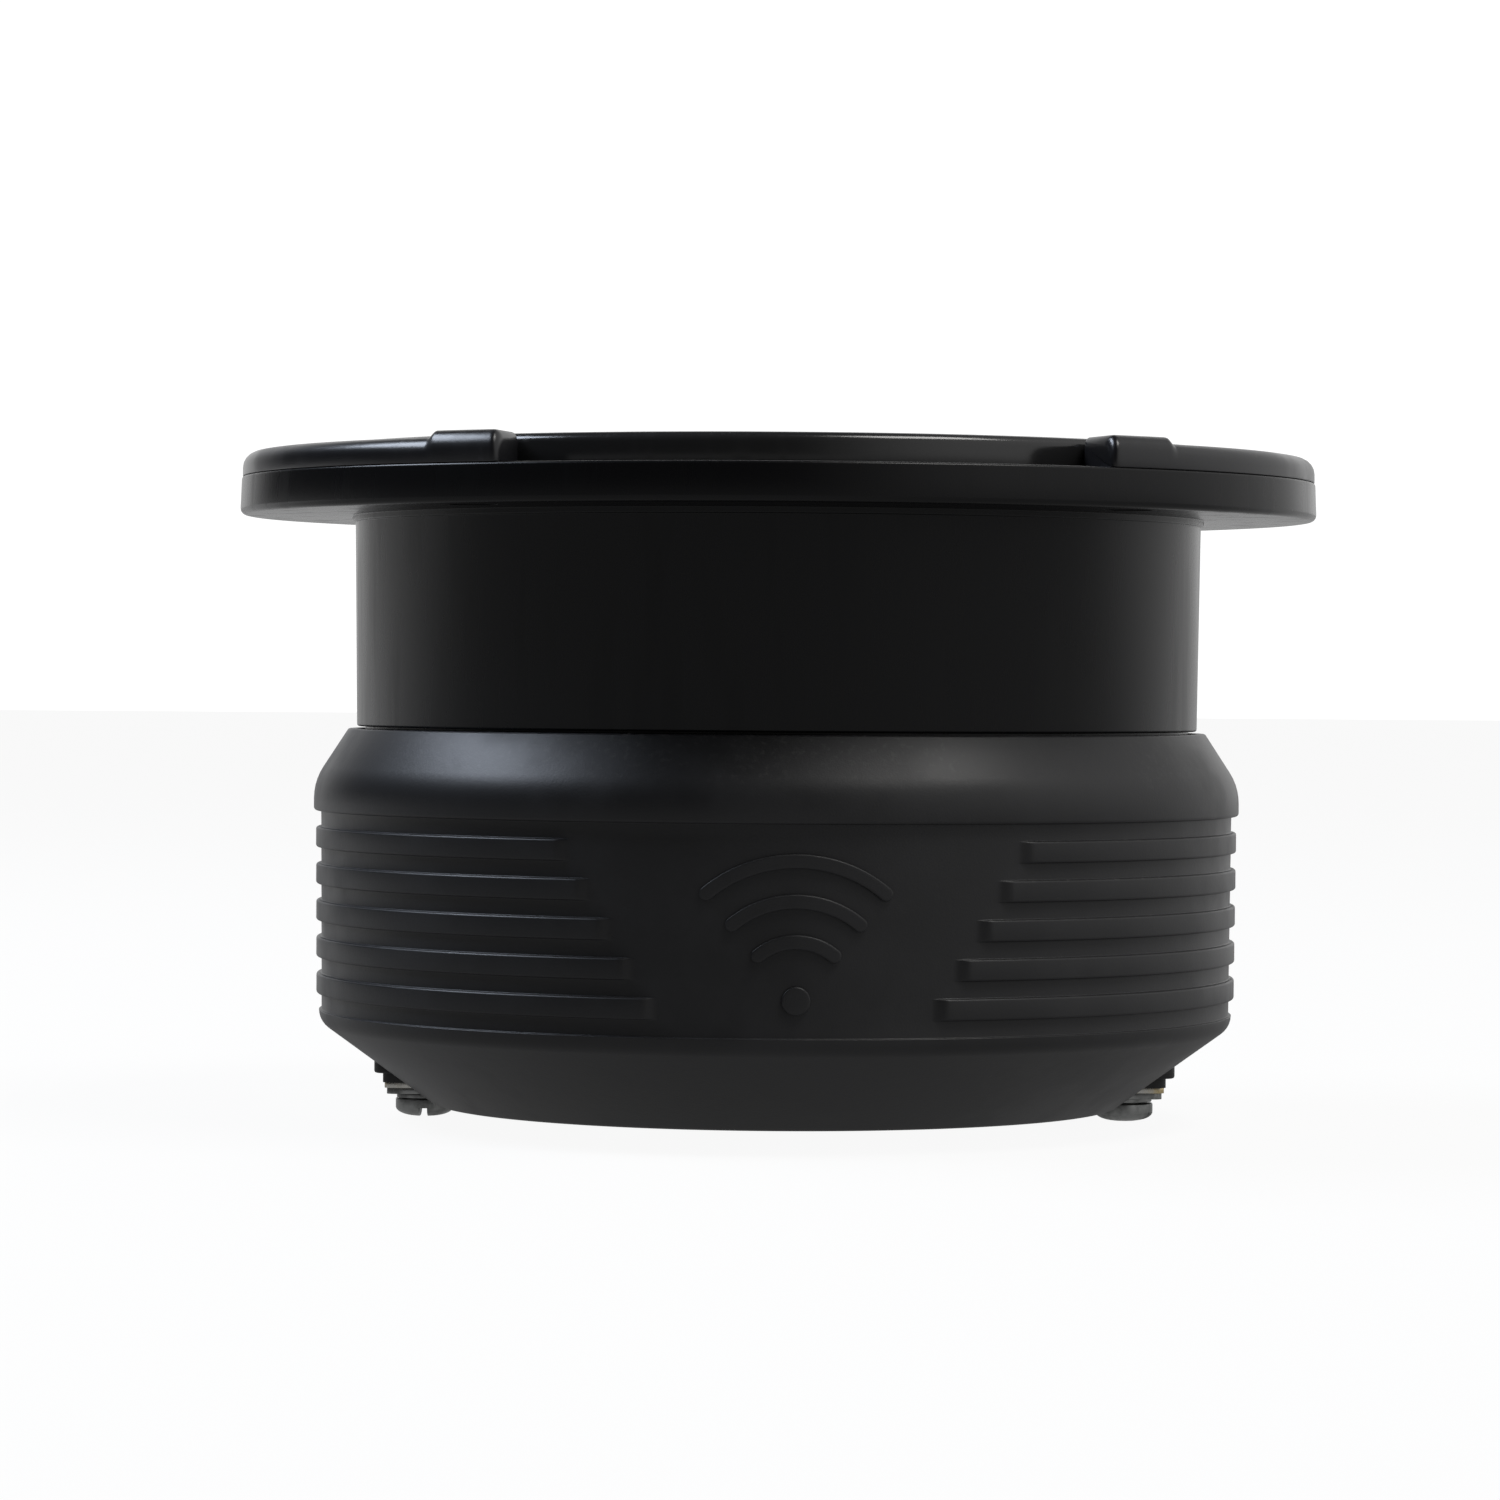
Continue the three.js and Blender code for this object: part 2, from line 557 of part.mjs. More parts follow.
function buildCovers() {
  const pads = coverBand(padFront).intersect(joined(notchPrisms(COVER.padWidth)));
  const covers = cutBy(coverBand(coverFront).add(pads), notchPrisms(0));
  Object.entries(SIDES).forEach(([side, sideAngle], i) => {
    const half = prism(sector(mouthRingRadius, flangeRadius, 0, 180), flangeFront, padFront,
      { degrees: NOTCH.turn + sideAngle });
    const pegs = pegPrisms(PEG.radius, flangeFront - PEG.length, flangeFront + FIT.bond, pegAngles[i]);
    addPart(`screw_cover_${side}`, joined([covers.intersect(half), ...pegs]), SATIN_BLACK);
  });
}

// ---- Boot ----
function bootForm() {
  const chamferTop = bootBottom + (lipRadius - bootBaseRadius) / chamferSlope;
  const lipFront = chamferTop + LIP.land;
  const taper = Math.tan(THREE.MathUtils.degToRad(SHOULDER.taperAngle));
  const taperRear = bootTop - (shoulderRadius - rimRadius) / taper;
  const form = turned([
    [0, 0],
    [FOOT.radius, 0, FOOT.edge],
    [FOOT.radius, bootBottom],
    [bootBaseRadius, bootBottom, BOOT.baseEdge],
    [lipRadius, chamferTop, LIP.round],
    [lipRadius, lipFront],
    [bandRear, lipFront],
    [bandFront, shoulderRear],
    [shoulderRadius, shoulderRear],
    [shoulderRadius, taperRear, SHOULDER.round],
    [rimRadius, bootTop, SHOULDER.edge],
    [0, bootTop],
  ]);
  return { form, lipFront };
}

function bootCavity() {
  const bevelTop = plateRear + (bootInner - bootChamferInner) / chamferSlope;
  return turned([
    [0, plateRear],
    [bootChamferInner, plateRear],
    [bootInner, bevelTop],
    [bootInner, bootTop + FIT.slide],
    [0, bootTop + FIT.slide],
  ]);
}

// Raised ribs round the band, open at the front over a blank that narrows towards the rear.
function bootRibs(lipFront) {
  const gap = (shoulderRear - lipFront - RIB.count * RIB.width) / (RIB.count + 1);
  return Array.from({ length: RIB.count }, (_, i) => {
    const rear = lipFront + gap + i * (RIB.width + gap);
    const along = (rear - lipFront) / (shoulderRear - lipFront);
    const radius = bandRear + BOOT.draft * along + RIB.height;
    const blank = RIB.blankAngle + RIB.blankStep * i;
    const root = radius - RIB.height - RIB.root;
    const points = sector(root, radius, RIB.blankTurn + blank, RIB.blankTurn + 360 - blank);
    return prism(points, rear, rear + RIB.width);
  });
}

// A plain sound-wave emblem, a dot under nested arcs, raised a little from the band.
function bootEmblem(lipFront) {
  const base = lipFront + EMBLEM.foot;
  const strokes = Array.from({ length: EMBLEM.arcs }, (_, i) => {
    const radius = EMBLEM.firstRadius + i * EMBLEM.spacing;
    return sector(radius, radius + EMBLEM.stroke, 180 - EMBLEM.halfAngle, 180 + EMBLEM.halfAngle);
  });
  const marks = [circle(EMBLEM.dot, FACETS.small), ...strokes].map((points) => {
    const depth = EMBLEM.relief + EMBLEM.root + LIP.proud + BOOT.wall;
    const geometry = new THREE.ExtrudeGeometry(new THREE.Shape(points), { depth, bevelEnabled: false });
    geometry.rotateX(Math.PI / 2);
    geometry.translate(0, -(bandRear - EMBLEM.root), base);
    geometry.rotateZ(THREE.MathUtils.degToRad(RIB.blankTurn));
    return solidOf(geometry);
  });
  const limit = rod(bandRear + BOOT.draft / 2 + EMBLEM.relief, lipFront, shoulderRear, FACETS.large);
  return joined(marks).intersect(limit);
}

function buildBoot() {
  const { form, lipFront } = bootForm();
  const rims = sideAngles.map((degrees) => terminalPocket(WINDOW.rimWall, bootBottom + WINDOW.rimDrop,
    bootBottom + WINDOW.rimDrop + BOOT.floor + LIP.proud, degrees));
  const body = joined([form, ...rims, ...bootRibs(lipFront), bootEmblem(lipFront)]);
  const windows = sideAngles.map((degrees) => terminalPocket(0, 0, magnetRear - FIT.slide, degrees));
  addPart('magnet_boot', cutBy(body, [bootCavity(), ...windows, ...leadChannels()]), BLACK_RUBBER);
}

// ---- Terminals ----
// Pieces of a terminal are made on +X; the left ones are turned half round.
const atTerminal = { out: terminalRadius };
function screwHole(slack, rear, front) {
  return prism(circle(SCREW.radius + slack, FACETS.small), rear, front, atTerminal);
}

function plateWithHole({ length, width, corner }, rear, front) {
  const plate = prism(roundedRectangle(length, width, corner), rear, front, atTerminal);
  return plate.subtract(screwHole(FIT.slide, rear - FIT.slide, front + FIT.slide));
}

function terminalBlock() {
  const block = terminalPocket(-FIT.slide, blockRear, blockFront, 0);
  const nutPocket = prism(hexagon(NUT.flats + 2 * FIT.thread), nutRear, blockFront + FIT.slide, atTerminal);
  return cutBy(block, [nutPocket, screwHole(FIT.slide, blockRear - FIT.slide, blockFront)]);
}

function terminalNut() {
  const nut = prism(hexagon(NUT.flats), nutRear, blockFront, atTerminal);
  return nut.subtract(screwHole(FIT.thread, nutRear - FIT.slide, blockFront + FIT.slide));
}

function lockWasher() {
  const washer = prism(circle(LOCK_WASHER.radius, FACETS.small), washerRear, clampRear, atTerminal);
  const split = prism(roundedRectangle(LOCK_WASHER.radius, LOCK_WASHER.split, 0), washerRear - FIT.slide,
    clampRear + FIT.slide, { out: terminalRadius + LOCK_WASHER.radius / 2 + SCREW.radius });
  return cutBy(washer, [screwHole(FIT.slide, washerRear - FIT.slide, clampRear + FIT.slide), split]);
}

// A slotted pan-head screw, its face to the rear, with its slot turned as it was left.
function terminalScrew(restTurn) {
  const tip = blockFront - FIT.slide;
  const geometry = revolve(outline([
    [0, screwFace],
    [SCREW.headRadius, screwFace, SCREW.headRound],
    [SCREW.headRadius, washerRear - FIT.bond],
    [SCREW.radius, washerRear - FIT.bond],
    [SCREW.radius, tip],
    [0, tip],
  ]), FACETS.small);
  const slot = new THREE.BoxGeometry(SLOT.width, 2 * SCREW.headRadius + FIT.slide, 2 * SLOT.depth);
  slot.rotateZ(THREE.MathUtils.degToRad(restTurn));
  slot.translate(terminalRadius, 0, screwFace);
  return solidOf(geometry.translate(terminalRadius, 0, 0)).subtract(solidOf(slot));
}

function buildTerminals() {
  Object.entries(SIDES).forEach(([side, degrees]) => {
    addPart(`terminal_block_${side}`, terminalBlock(), NYLON, degrees);
    addPart(`terminal_nut_${side}`, terminalNut(), BRASS, degrees);
    addPart(`terminal_tab_${side}`, plateWithHole(TAB, tabRear, blockRear), BRASS, degrees);
    addPart(`clamp_plate_${side}`, plateWithHole(CLAMP, clampRear, tabRear), PLATED_STEEL, degrees);
    addPart(`lock_washer_${side}`, lockWasher(), PLATED_STEEL, degrees);
    addPart(`terminal_screw_${side}`, terminalScrew(SCREW.restTurn[side]), PLATED_STEEL, degrees);
    addPart(`lead_wire_${side}`, solidOf(tubeAlongLead(LEAD.radius)), COPPER, degrees);
  });
}

buildBackPlate();
buildMagnets();
buildPole();
buildTopPlate();
buildHornScrews();
buildDiaphragm();
buildClamping();
buildBullet();
buildHorn();
buildMouthRing();
buildCovers();
buildBoot();
buildTerminals();

export default tweeter;
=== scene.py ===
import functools
import math

import bmesh
import bpy
from mathutils import Matrix, Vector


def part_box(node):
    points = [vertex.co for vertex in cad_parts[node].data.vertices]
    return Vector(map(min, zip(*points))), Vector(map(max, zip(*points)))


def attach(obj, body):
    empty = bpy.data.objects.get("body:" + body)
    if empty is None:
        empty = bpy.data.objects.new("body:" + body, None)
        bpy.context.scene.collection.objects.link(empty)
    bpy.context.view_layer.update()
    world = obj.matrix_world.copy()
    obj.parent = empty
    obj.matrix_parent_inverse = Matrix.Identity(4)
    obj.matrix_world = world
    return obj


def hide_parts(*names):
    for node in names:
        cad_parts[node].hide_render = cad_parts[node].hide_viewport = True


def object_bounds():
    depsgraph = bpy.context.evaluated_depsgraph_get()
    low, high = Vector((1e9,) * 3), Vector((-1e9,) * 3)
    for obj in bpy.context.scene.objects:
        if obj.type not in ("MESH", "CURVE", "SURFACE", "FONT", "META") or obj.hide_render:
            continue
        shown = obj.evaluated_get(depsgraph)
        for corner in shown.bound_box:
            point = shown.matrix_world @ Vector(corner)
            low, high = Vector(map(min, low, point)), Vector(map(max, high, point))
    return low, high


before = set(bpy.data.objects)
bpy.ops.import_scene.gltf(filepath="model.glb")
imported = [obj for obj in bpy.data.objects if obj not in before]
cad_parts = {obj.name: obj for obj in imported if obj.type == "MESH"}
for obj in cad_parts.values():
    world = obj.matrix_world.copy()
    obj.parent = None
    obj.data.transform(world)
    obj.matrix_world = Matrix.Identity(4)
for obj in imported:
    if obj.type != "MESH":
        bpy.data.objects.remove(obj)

bl_info = {
    "name": "Bullet Super Tweeter",
    "version": (1, 0, 0),
    "blender": (4, 5, 0),
    "location": "3D View > Sidebar > Tweeter",
    "description": "Builds the visible pieces and finishes of a bullet super tweeter round its frame",
    "category": "Mesh",
}

CAD_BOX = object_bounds()
ROOT = "motor_and_horn"
SIDES = {"right": 0.0, "left": math.pi}
FULL_TURN = 2 * math.pi
COLUMNS = 288
TERMINAL_COLUMNS = 64
HOLE_COLUMNS = 48
FILLET_STEPS = 5
RIB_END_STEPS = 8
SHARP_ANGLE = math.radians(38)
SENSOR_WIDTH = 36.0
LAMP_DISTANCE = 0.9
FLOOR_GLOW_SHARE = 0.93
GLOW_START = -0.05
GLOW_END = 0.25
STROKE_STEPS = 48
CAP_STEPS = 10
CREST_STEPS = 3
END_STEPS = 7
PAD_STEPS = 60
COVER_STEPS = 130
FLARE_STEPS = 40
BULLET_STEPS = 60
BULLET_START = 0.3
BULLET_CROWDING = 1.6
DOME_STEPS = 14
WASHER_STEPS = 72
CRISP_EDGE = 0.0001
PLATE_GAP = 0.0002
SEAM_GAP = 0.0002
MAGNET_GAP = 0.0003
CUT_MARGIN = 0.001


@functools.cache
def box(node):
    """The low and high corners of a CAD node, worked out once."""
    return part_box(node)


def top(node):
    """The highest plane of a CAD node."""
    return box(node)[1][2]


def bottom(node):
    """The lowest plane of a CAD node."""
    return box(node)[0][2]


def reach(node):
    """How far a CAD node reaches along +X, which is the radius of a round one."""
    return box(node)[1][0]


def middle_x(node):
    """The middle of a CAD node along X."""
    low, high = box(node)
    return (low[0] + high[0]) / 2


# ---- Settings ----
def length(name, description, default):
    return bpy.props.FloatProperty(name=name, description=description, default=default, min=0.0,
                                   unit="LENGTH", precision=5)


def angle(name, description, degrees):
    return bpy.props.FloatProperty(name=name, description=description, default=math.radians(degrees),
                                   subtype="ANGLE")


def amount(name, description, default, highest=1.0):
    return bpy.props.FloatProperty(name=name, description=description, default=default, min=0.0, max=highest,
                                   subtype="FACTOR")


def power(name, description, default):
    return bpy.props.FloatProperty(name=name, description=description, default=default, min=0.0, unit="POWER")


def shape(name, description, default, **limits):
    return bpy.props.FloatProperty(name=name, description=description, default=default, **limits)


def count(name, description, default):
    return bpy.props.IntProperty(name=name, description=description, default=default, min=1)


def colour(name, description, default):
    return bpy.props.FloatVectorProperty(name=name, description=description, default=default, size=3, min=0.0,
                                         max=1.0, subtype="COLOR")


class BootSettings(bpy.types.PropertyGroup):
    shoulder_radius: length("Shoulder radius", "Radius of the widest part of the boot", reach("magnet_boot"))
    shoulder_height: length("Shoulder height", "Height of the shoulder under the seam", 0.0079)
    shoulder_proud: length("Shoulder step", "How far the shoulder stands out of the ribbed band", 0.0007)
    shoulder_round: length("Shoulder rounding", "Radius between the land and the taper", 0.0055)
    shoulder_edge: length("Shoulder edge", "Radius of the shoulder's rear edge", 0.0003)
    taper_angle: angle("Taper", "Angle of the shoulder's taper from the axis", 33)
    rim_wall: length("Rim wall", "Thickness of the rubber at the seam", 0.0011)
    rim_edge: length("Rim edge", "Radius of the edge at the seam", 0.00035)
    band_draft: length("Band draft", "How much narrower the ribbed band is at the rear", 0.00015)
    lip_proud: length("Lip step", "How far the rear lip stands out of the band", 0.00025)
    lip_land: length("Lip land", "Height of the rear lip above the chamfer's corner", 0.00108)
    lip_edge: length("Lip edge", "Radius of the lip's front edge", 0.00012)
    lip_round: length("Lip rounding", "Radius between the chamfer and the lip", 0.002)
    chamfer_angle: angle("Chamfer", "Angle of the rear chamfer from the axis", 54)
    floor: length("Floor", "Thickness of the rubber under the motor", 0.0022)
    base_edge: length("Base edge", "Radius between the flat base and the chamfer", 0.0012)
    foot_radius: length("Foot radius", "Radius of the flat foot at the rear", 0.013)
    foot_edge: length("Foot edge", "Radius of the foot's edge", 0.0006)
    foot_root: length("Foot root", "Radius between the foot and the base", 0.0004)
    rib_count: count("Ribs", "Number of raised ribs round the band", 5)
    rib_width: length("Rib width", "Width of a rib along the axis", 0.00195)
    rib_height: length("Rib height", "How far a rib stands out of the band", 0.0005)
    rib_edge: length("Rib edge", "Radius of a rib's edges", 0.00022)
    rib_fade: length("Rib fade", "Length over which a rib rises at its ends", 0.0016)
    blank_angle: angle("Blank", "Half the angle of the plain zone at the rearmost rib", 17.2)
    blank_step: angle("Blank step", "Growth of the plain zone from rib to rib", 2.75)
    blank_turn: angle("Blank turn", "How far the plain zone is turned from the front", 2.45)
    window_length: length("Window length", "Radial length of a terminal window", 0.0084)
    window_width: length("Window width", "Width of a terminal window", 0.0104)
    window_corner: length("Window corner", "Radius of a window's corners", 0.0014)
    window_shift: length("Window shift", "How far a window's middle is inside the screw's axis", 0.0001)
    window_edge: length("Window edge", "Radius of the raised rim's edges", 0.0002)
    window_wall: length("Window rim", "Wall of the raised rim round a terminal window", 0.0005)
    window_drop: length("Window rim height", "Plane of the rim, above the boot's base", 0.003)
    tint: colour("Rubber", "Colour of the rubber", (0.0135, 0.0135, 0.0145))


class EmblemSettings(bpy.types.PropertyGroup):
    arcs: count("Arcs", "Number of nested arcs", 3)
    first_radius: length("First arc", "Inner radius of the smallest arc", 0.0046)
    spacing: length("Spacing", "Distance from arc to arc", 0.0036)
    stroke: length("Stroke", "Width of an arc", 0.0013)
    half_angle: angle("Half angle", "Half the angle that an arc spans", 40)
    dot: length("Dot", "Radius of the dot", 0.0013)
    foot: length("Height", "Height of the dot above the rear lip", 0.0034)
    relief: length("Relief", "How far the emblem stands out of the band", 0.0004)
    edge: length("Edge", "Radius of the emblem's edges", 0.00018)


class HornSettings(bpy.types.PropertyGroup):
    flange_radius: length("Flange radius", "Radius of the mounting flange", reach("horn_body"))
    flange_thickness: length("Flange thickness", "Thickness of the mounting flange", 0.00365)
    flange_draft: length("Flange draft", "How much narrower the flange is at the front", 0.00015)
    barrel_draft: length("Barrel draft", "How much narrower the barrel is at the rear", 0.00025)
    barrel_wall: length("Barrel wall", "Thickness of the barrel", 0.0025)
    collar_proud: length("Collar step", "How far the collar stands out of the barrel", 0.0003)
    collar_height: length("Collar height", "Height of the collar under the flange", 0.0006)
    flare_wall: length("Flare wall", "Thickness of the horn", 0.0022)
    flare_power: shape("Flare", "Power of the curve that the horn opens along", 1.6, min=1.0)
    throat_slot: length("Slot", "Width of the ring slot between the bullet and the throat", 0.0024)
    lid_thickness: length("Lid", "Thickness of the moulding behind the flange, inside the barrel", 0.0032)
    seam_edge: length("Seam edge", "Radius of the barrel's rear edge", 0.00025)
    collar_root: length("Collar root", "Radius between the barrel and the collar", 0.00008)
    collar_edge: length("Collar edge", "Radius of the collar's edge", 0.00015)
    flange_edge: length("Flange edge", "Radius of the flange's rear edge", 0.0006)
    flange_lip: length("Flange lip", "Radius of the flange's front edge", 0.0003)
    mouth_inset: length("Mouth inset", "How far the mouth is inside the barrel's outer face", 0.00235)
    hole_radius: length("Hole radius", "Radius of a mounting hole", 0.0022)
    sink_radius: length("Hole sink", "Radius of the sink for a mounting screw's head", 0.0032)
    sink_depth: length("Sink depth", "Depth of the sink for a mounting screw's head", 0.001)
    tint: colour("Horn", "Colour of the horn moulding", (0.0045, 0.0045, 0.005))


class TrimSettings(bpy.types.PropertyGroup):
    ring_width: length("Ring width", "Width of the mouth ring at its foot", 0.0059)
    ring_flare: length("Ring flare", "How much the mouth ring opens towards the front", 0.0034)
    ring_lip: length("Ring lip", "Radius of the mouth ring's inner edge", 0.0008)
    ring_round: length("Ring rounding", "Radius of the mouth ring's outer edge", 0.0009)
    pad_height: length("Pad height", "Height of the raised pads over the covers", 0.0006)
    pad_width: length("Pad width", "Width of a raised pad beside a notch", 0.00715)
    pad_ramp: length("Pad ramp", "Width over which a pad rises", 0.0009)
    cover_round: length("Cover rounding", "Radius of a cover's outer edge", 0.0015)
    cover_edge: length("Cover edge", "Radius of a cover's inner edge", 0.0004)
    end_round: length("End rounding", "Radius of a cover's ends", 0.0008)
    clearance: length("Clearance", "Gap between the mouth ring and the covers", 0.0003)
    turn: angle("Turn", "How far the trim is turned from the front", 3.2)
    notch_angle: angle("Notch", "Half the angle of the notch between the covers", 32)
    notch_slant: angle("Notch slant", "How far a notch's walls lean together inwards", 16)
    ring_tint: colour("Mouth ring", "Colour of the polished mouth ring", (0.02, 0.02, 0.0205))
    cover_tint: colour("Covers", "Colour of the screw covers", (0.009, 0.009, 0.0105))


class BulletSettings(bpy.types.PropertyGroup):
    girth_power: shape("Girth", "How far forward the bullet keeps its girth", 1.5, min=1.0)
    fullness: shape("Fullness", "How blunt the bullet's tip is", 0.62, min=0.3, max=1.0)
    edge: length("Edge", "Chamfer of the bullet's rear edge", 0.0003)
    tint: colour("Bullet", "Colour of the spun aluminium", (0.72, 0.73, 0.75))


class TerminalSettings(bpy.types.PropertyGroup):
    head_radius: length("Head radius", "Radius of a terminal screw's head", 0.0028)
    head_dome: length("Head dome", "Height of the domed part of the head", 0.0009)
    shank_radius: length("Shank radius", "Radius of a terminal screw's shank", 0.0015)
    slot_width: length("Slot width", "Width of the screwdriver slot", 0.0008)
    slot_depth: length("Slot depth", "Depth of the screwdriver slot", 0.0009)
    turn_left: angle("Left slot", "Angle of the left screw's slot", 0)
    turn_right: angle("Right slot", "Angle of the right screw's slot", 62)
    hole_radius: length("Plate hole", "Radius of the screw's hole in the plates", 0.0018)
    edge: length("Edge", "Radius of the plates' edges", 0.00012)
    fine_edge: length("Fine edge", "Radius of the edges of the screw and the washer", 0.00006)
    block_corner: length("Block corner", "Radius of a block's corners", 0.0012)
    tab_corner: length("Tab corner", "Radius of a tab's corners", 0.0006)
    clamp_corner: length("Clamp corner", "Radius of a clamp plate's corners", 0.0008)
    washer_opening: angle("Washer gap", "Angle between the ends of a lock washer", 14)
    washer_spring: length("Washer spring", "How far a lock washer's ends stand apart along the axis", 0.00012)
    seat_gap: length("Seat gap", "Play between a screw's head and its washer", 0.00005)
    pitch: length("Pitch", "Pitch of the screw's thread", 0.0005)
    thread_depth: length("Thread depth", "Depth of the screw's thread", 0.00025)
    thread_start: length("Thread start", "Plain length of the shank under the head", 0.0003)
    tip_chamfer: length("Tip chamfer", "Chamfer of the screw's tip", 0.0004)
    dome_power: shape("Dome", "How full the domed head is", 0.75, min=0.1, max=1.0)
    steel: colour("Steel", "Colour of the zinc-plated steel", (0.3, 0.305, 0.3))
    brass: colour("Brass", "Colour of the tinned brass", (0.62, 0.5, 0.28))
    nylon: colour("Nylon", "Colour of the insulating blocks", (0.012, 0.012, 0.012))


class MotorSettings(bpy.types.PropertyGroup):
    film_wall: length("Diaphragm wall", "Thickness of the ring diaphragm", 0.00025)
    film_edge: length("Diaphragm edge", "Radius of the ring diaphragm's edges", 0.00005)
    crest_round: length("Crest", "Radius of the ring diaphragm's crest", 0.0004)
    former_wall: length("Former wall", "Thickness of the coil former", 0.00015)
    steel: colour("Motor steel", "Colour of the plates and the pole", (0.42, 0.42, 0.41))
    ferrite: colour("Ferrite", "Colour of the magnet rings", (0.035, 0.035, 0.038))
    phenolic: colour("Phenolic", "Colour of the diaphragm and its films", (0.12, 0.045, 0.018))
    copper: colour("Copper", "Colour of the coil, shorting ring and leads", (0.6, 0.26, 0.12))
    felt: colour("Felt", "Colour of the damping felt", (0.2, 0.2, 0.21))


class StageSettings(bpy.types.PropertyGroup):
    distance: length("Distance", "Distance of the camera from the axis", 0.521)
    height: length("Camera height", "Height of the camera above the floor", 0.0426)
    lens: bpy.props.FloatProperty(name="Lens", description="Focal length on a 36 mm sensor", default=128.9,
                                  subtype="DISTANCE_CAMERA")
    pan: angle("Pan", "Turn of the camera to the left", 0.283)
    tilt: angle("Tilt", "Tilt of the camera down", 0.747)
    roll: angle("Roll", "Roll of the camera", 0.4)
    floor_size: length("Floor size", "Side of the floor", 12.0)
    floor_tint: colour("Floor", "Colour of the floor", (0.86, 0.86, 0.86))
    floor_front: amount("Front glow", "Light that the floor in front gives the tweeter", 0.3)
    floor_back: amount("Back glow", "Light that the floor behind gives the tweeter", 0.7)
    left_power: power("Left light", "Power of the cool soft box on the left", 6.0)
    top_power: power("Top light", "Power of the soft box above on the right", 3.2)


# ---- Outlines and meshes ----
def fillet(before, corner, after, radius, steps=FILLET_STEPS):
    """Points of an arc at a corner, tangent to the sides that lead to its neighbours."""
    back = (before - corner).normalized()
    ahead = (after - corner).normalized()
    half = back.angle(ahead) / 2
    centre = corner + (back + ahead).normalized() * radius / math.sin(half)
    first = corner + back * radius / math.tan(half) - centre
    last = corner + ahead * radius / math.tan(half) - centre
    turn = first.angle_signed(last)
    return [centre + Matrix.Rotation(-turn * i / steps, 2) @ first for i in range(steps + 1)]


def outline(corners):
    """Points round corners given as (x, y) or (x, y, fillet radius)."""
    plain = [Vector(corner[:2]) for corner in corners]
    points = []
    for i, corner in enumerate(corners):
        if len(corner) == 2:
            points.append(plain[i])
        else:
            points += fillet(plain[i - 1], plain[i], plain[(i + 1) % len(plain)], corner[2])
    return points


def around(columns=COLUMNS):
    """Evenly spaced angles round the axis."""
    return [FULL_TURN * i / columns for i in range(columns)]


def polar(radius, turn, z):
    """A point at a radius and an angle from the front."""
    return Vector((radius * math.sin(turn), -radius * math.cos(turn), z))


def revolved(points, angles, closed=False, shape=None):
    """Vertices and faces of an outline of (radius, z) turned about Z.

    shape gives a point's radius at an angle, where it isn't the outline's own.
    """
    vertices, rows, faces = [], [], []
    for index, (radius, z) in enumerate(points):
        if radius < 1e-9:
            rows.append([len(vertices)] * len(angles))
            vertices.append(Vector((0, 0, z)))
            continue
        rows.append(range(len(vertices), len(vertices) + len(angles)))
        vertices += [polar(shape(index, turn) if shape else radius, turn, z) for turn in angles]
    pairs = list(zip(rows, rows[1:]))
    if closed:
        pairs.append((rows[-1], rows[0]))
    for low, high in pairs:
        for i in range(len(angles)):
            j = (i + 1) % len(angles)
            face = list(dict.fromkeys([low[i], low[j], high[j], high[i]]))
            if len(face) > 2:
                faces.append(face)
    return vertices, faces


def tube_faces(rows, n):
    """Faces between rows of n points each, closed round every row."""
    faces = []
    for row in range(rows - 1):
        for k in range(n):
            a, b = row * n + k, row * n + (k + 1) % n
            faces.append([a, a + n, b + n, b])
    return faces


def end_faces(total, n):
    """Faces that close the first and the last row of n points."""
    return [list(range(n)), list(range(total - n, total))[::-1]]


def mesh_object(name, vertices, faces):
    """A linked object with smooth faces, sharp only at real edges."""
    mesh = bpy.data.meshes.new(name)
    mesh.from_pydata(vertices, [], faces)
    mesh.validate()
    obj = bpy.data.objects.new(name, mesh)
    bpy.context.scene.collection.objects.link(obj)
    smooth(obj)
    return obj


def smooth(obj):
    obj.data.polygons.foreach_set("use_smooth", [True] * len(obj.data.polygons))
    obj.data.set_sharp_from_angle(angle=SHARP_ANGLE)


def lathe(name, corners, closed=False, angles=None):
    """An object turned from an outline, as a ring if it is closed and as a solid if it ends on the axis."""
    vertices, faces = revolved(outline(corners), angles or around(), closed)
    return mesh_object(name, vertices, faces)


def bake(obj):
    """Replaces an object's mesh by what its modifiers make of it."""
    graph = bpy.context.evaluated_depsgraph_get()
    mesh = bpy.data.meshes.new_from_object(obj.evaluated_get(graph), depsgraph=graph)
    if not mesh.polygons:
        raise RuntimeError(f"{obj.name} came out empty")
    obj.modifiers.clear()
    obj.data = mesh


def boolean(obj, others, operation):
    """Joins or cuts an object with others, which are then removed."""
    for other in others:
        modifier = obj.modifiers.new(operation.title(), "BOOLEAN")
        modifier.operation = operation
        modifier.solver = "MANIFOLD"
        modifier.object = other
    bake(obj)
    for other in others:
        bpy.data.objects.remove(other)
    smooth(obj)


def merge(obj):
    """Joins points that coincide."""
    work = bmesh.new()
    work.from_mesh(obj.data)
    bmesh.ops.remove_doubles(work, verts=work.verts, dist=1e-7)
    bmesh.ops.recalc_face_normals(work, faces=work.faces)
    work.to_mesh(obj.data)
    work.free()
    smooth(obj)


def soften(obj, width, segments=2):
    """Rounds an object's sharp edges."""
    modifier = obj.modifiers.new("Edges", "BEVEL")
    modifier.width = width
    modifier.segments = segments
    modifier.limit_method = "ANGLE"
    modifier.angle_limit = SHARP_ANGLE
    bake(obj)
    smooth(obj)


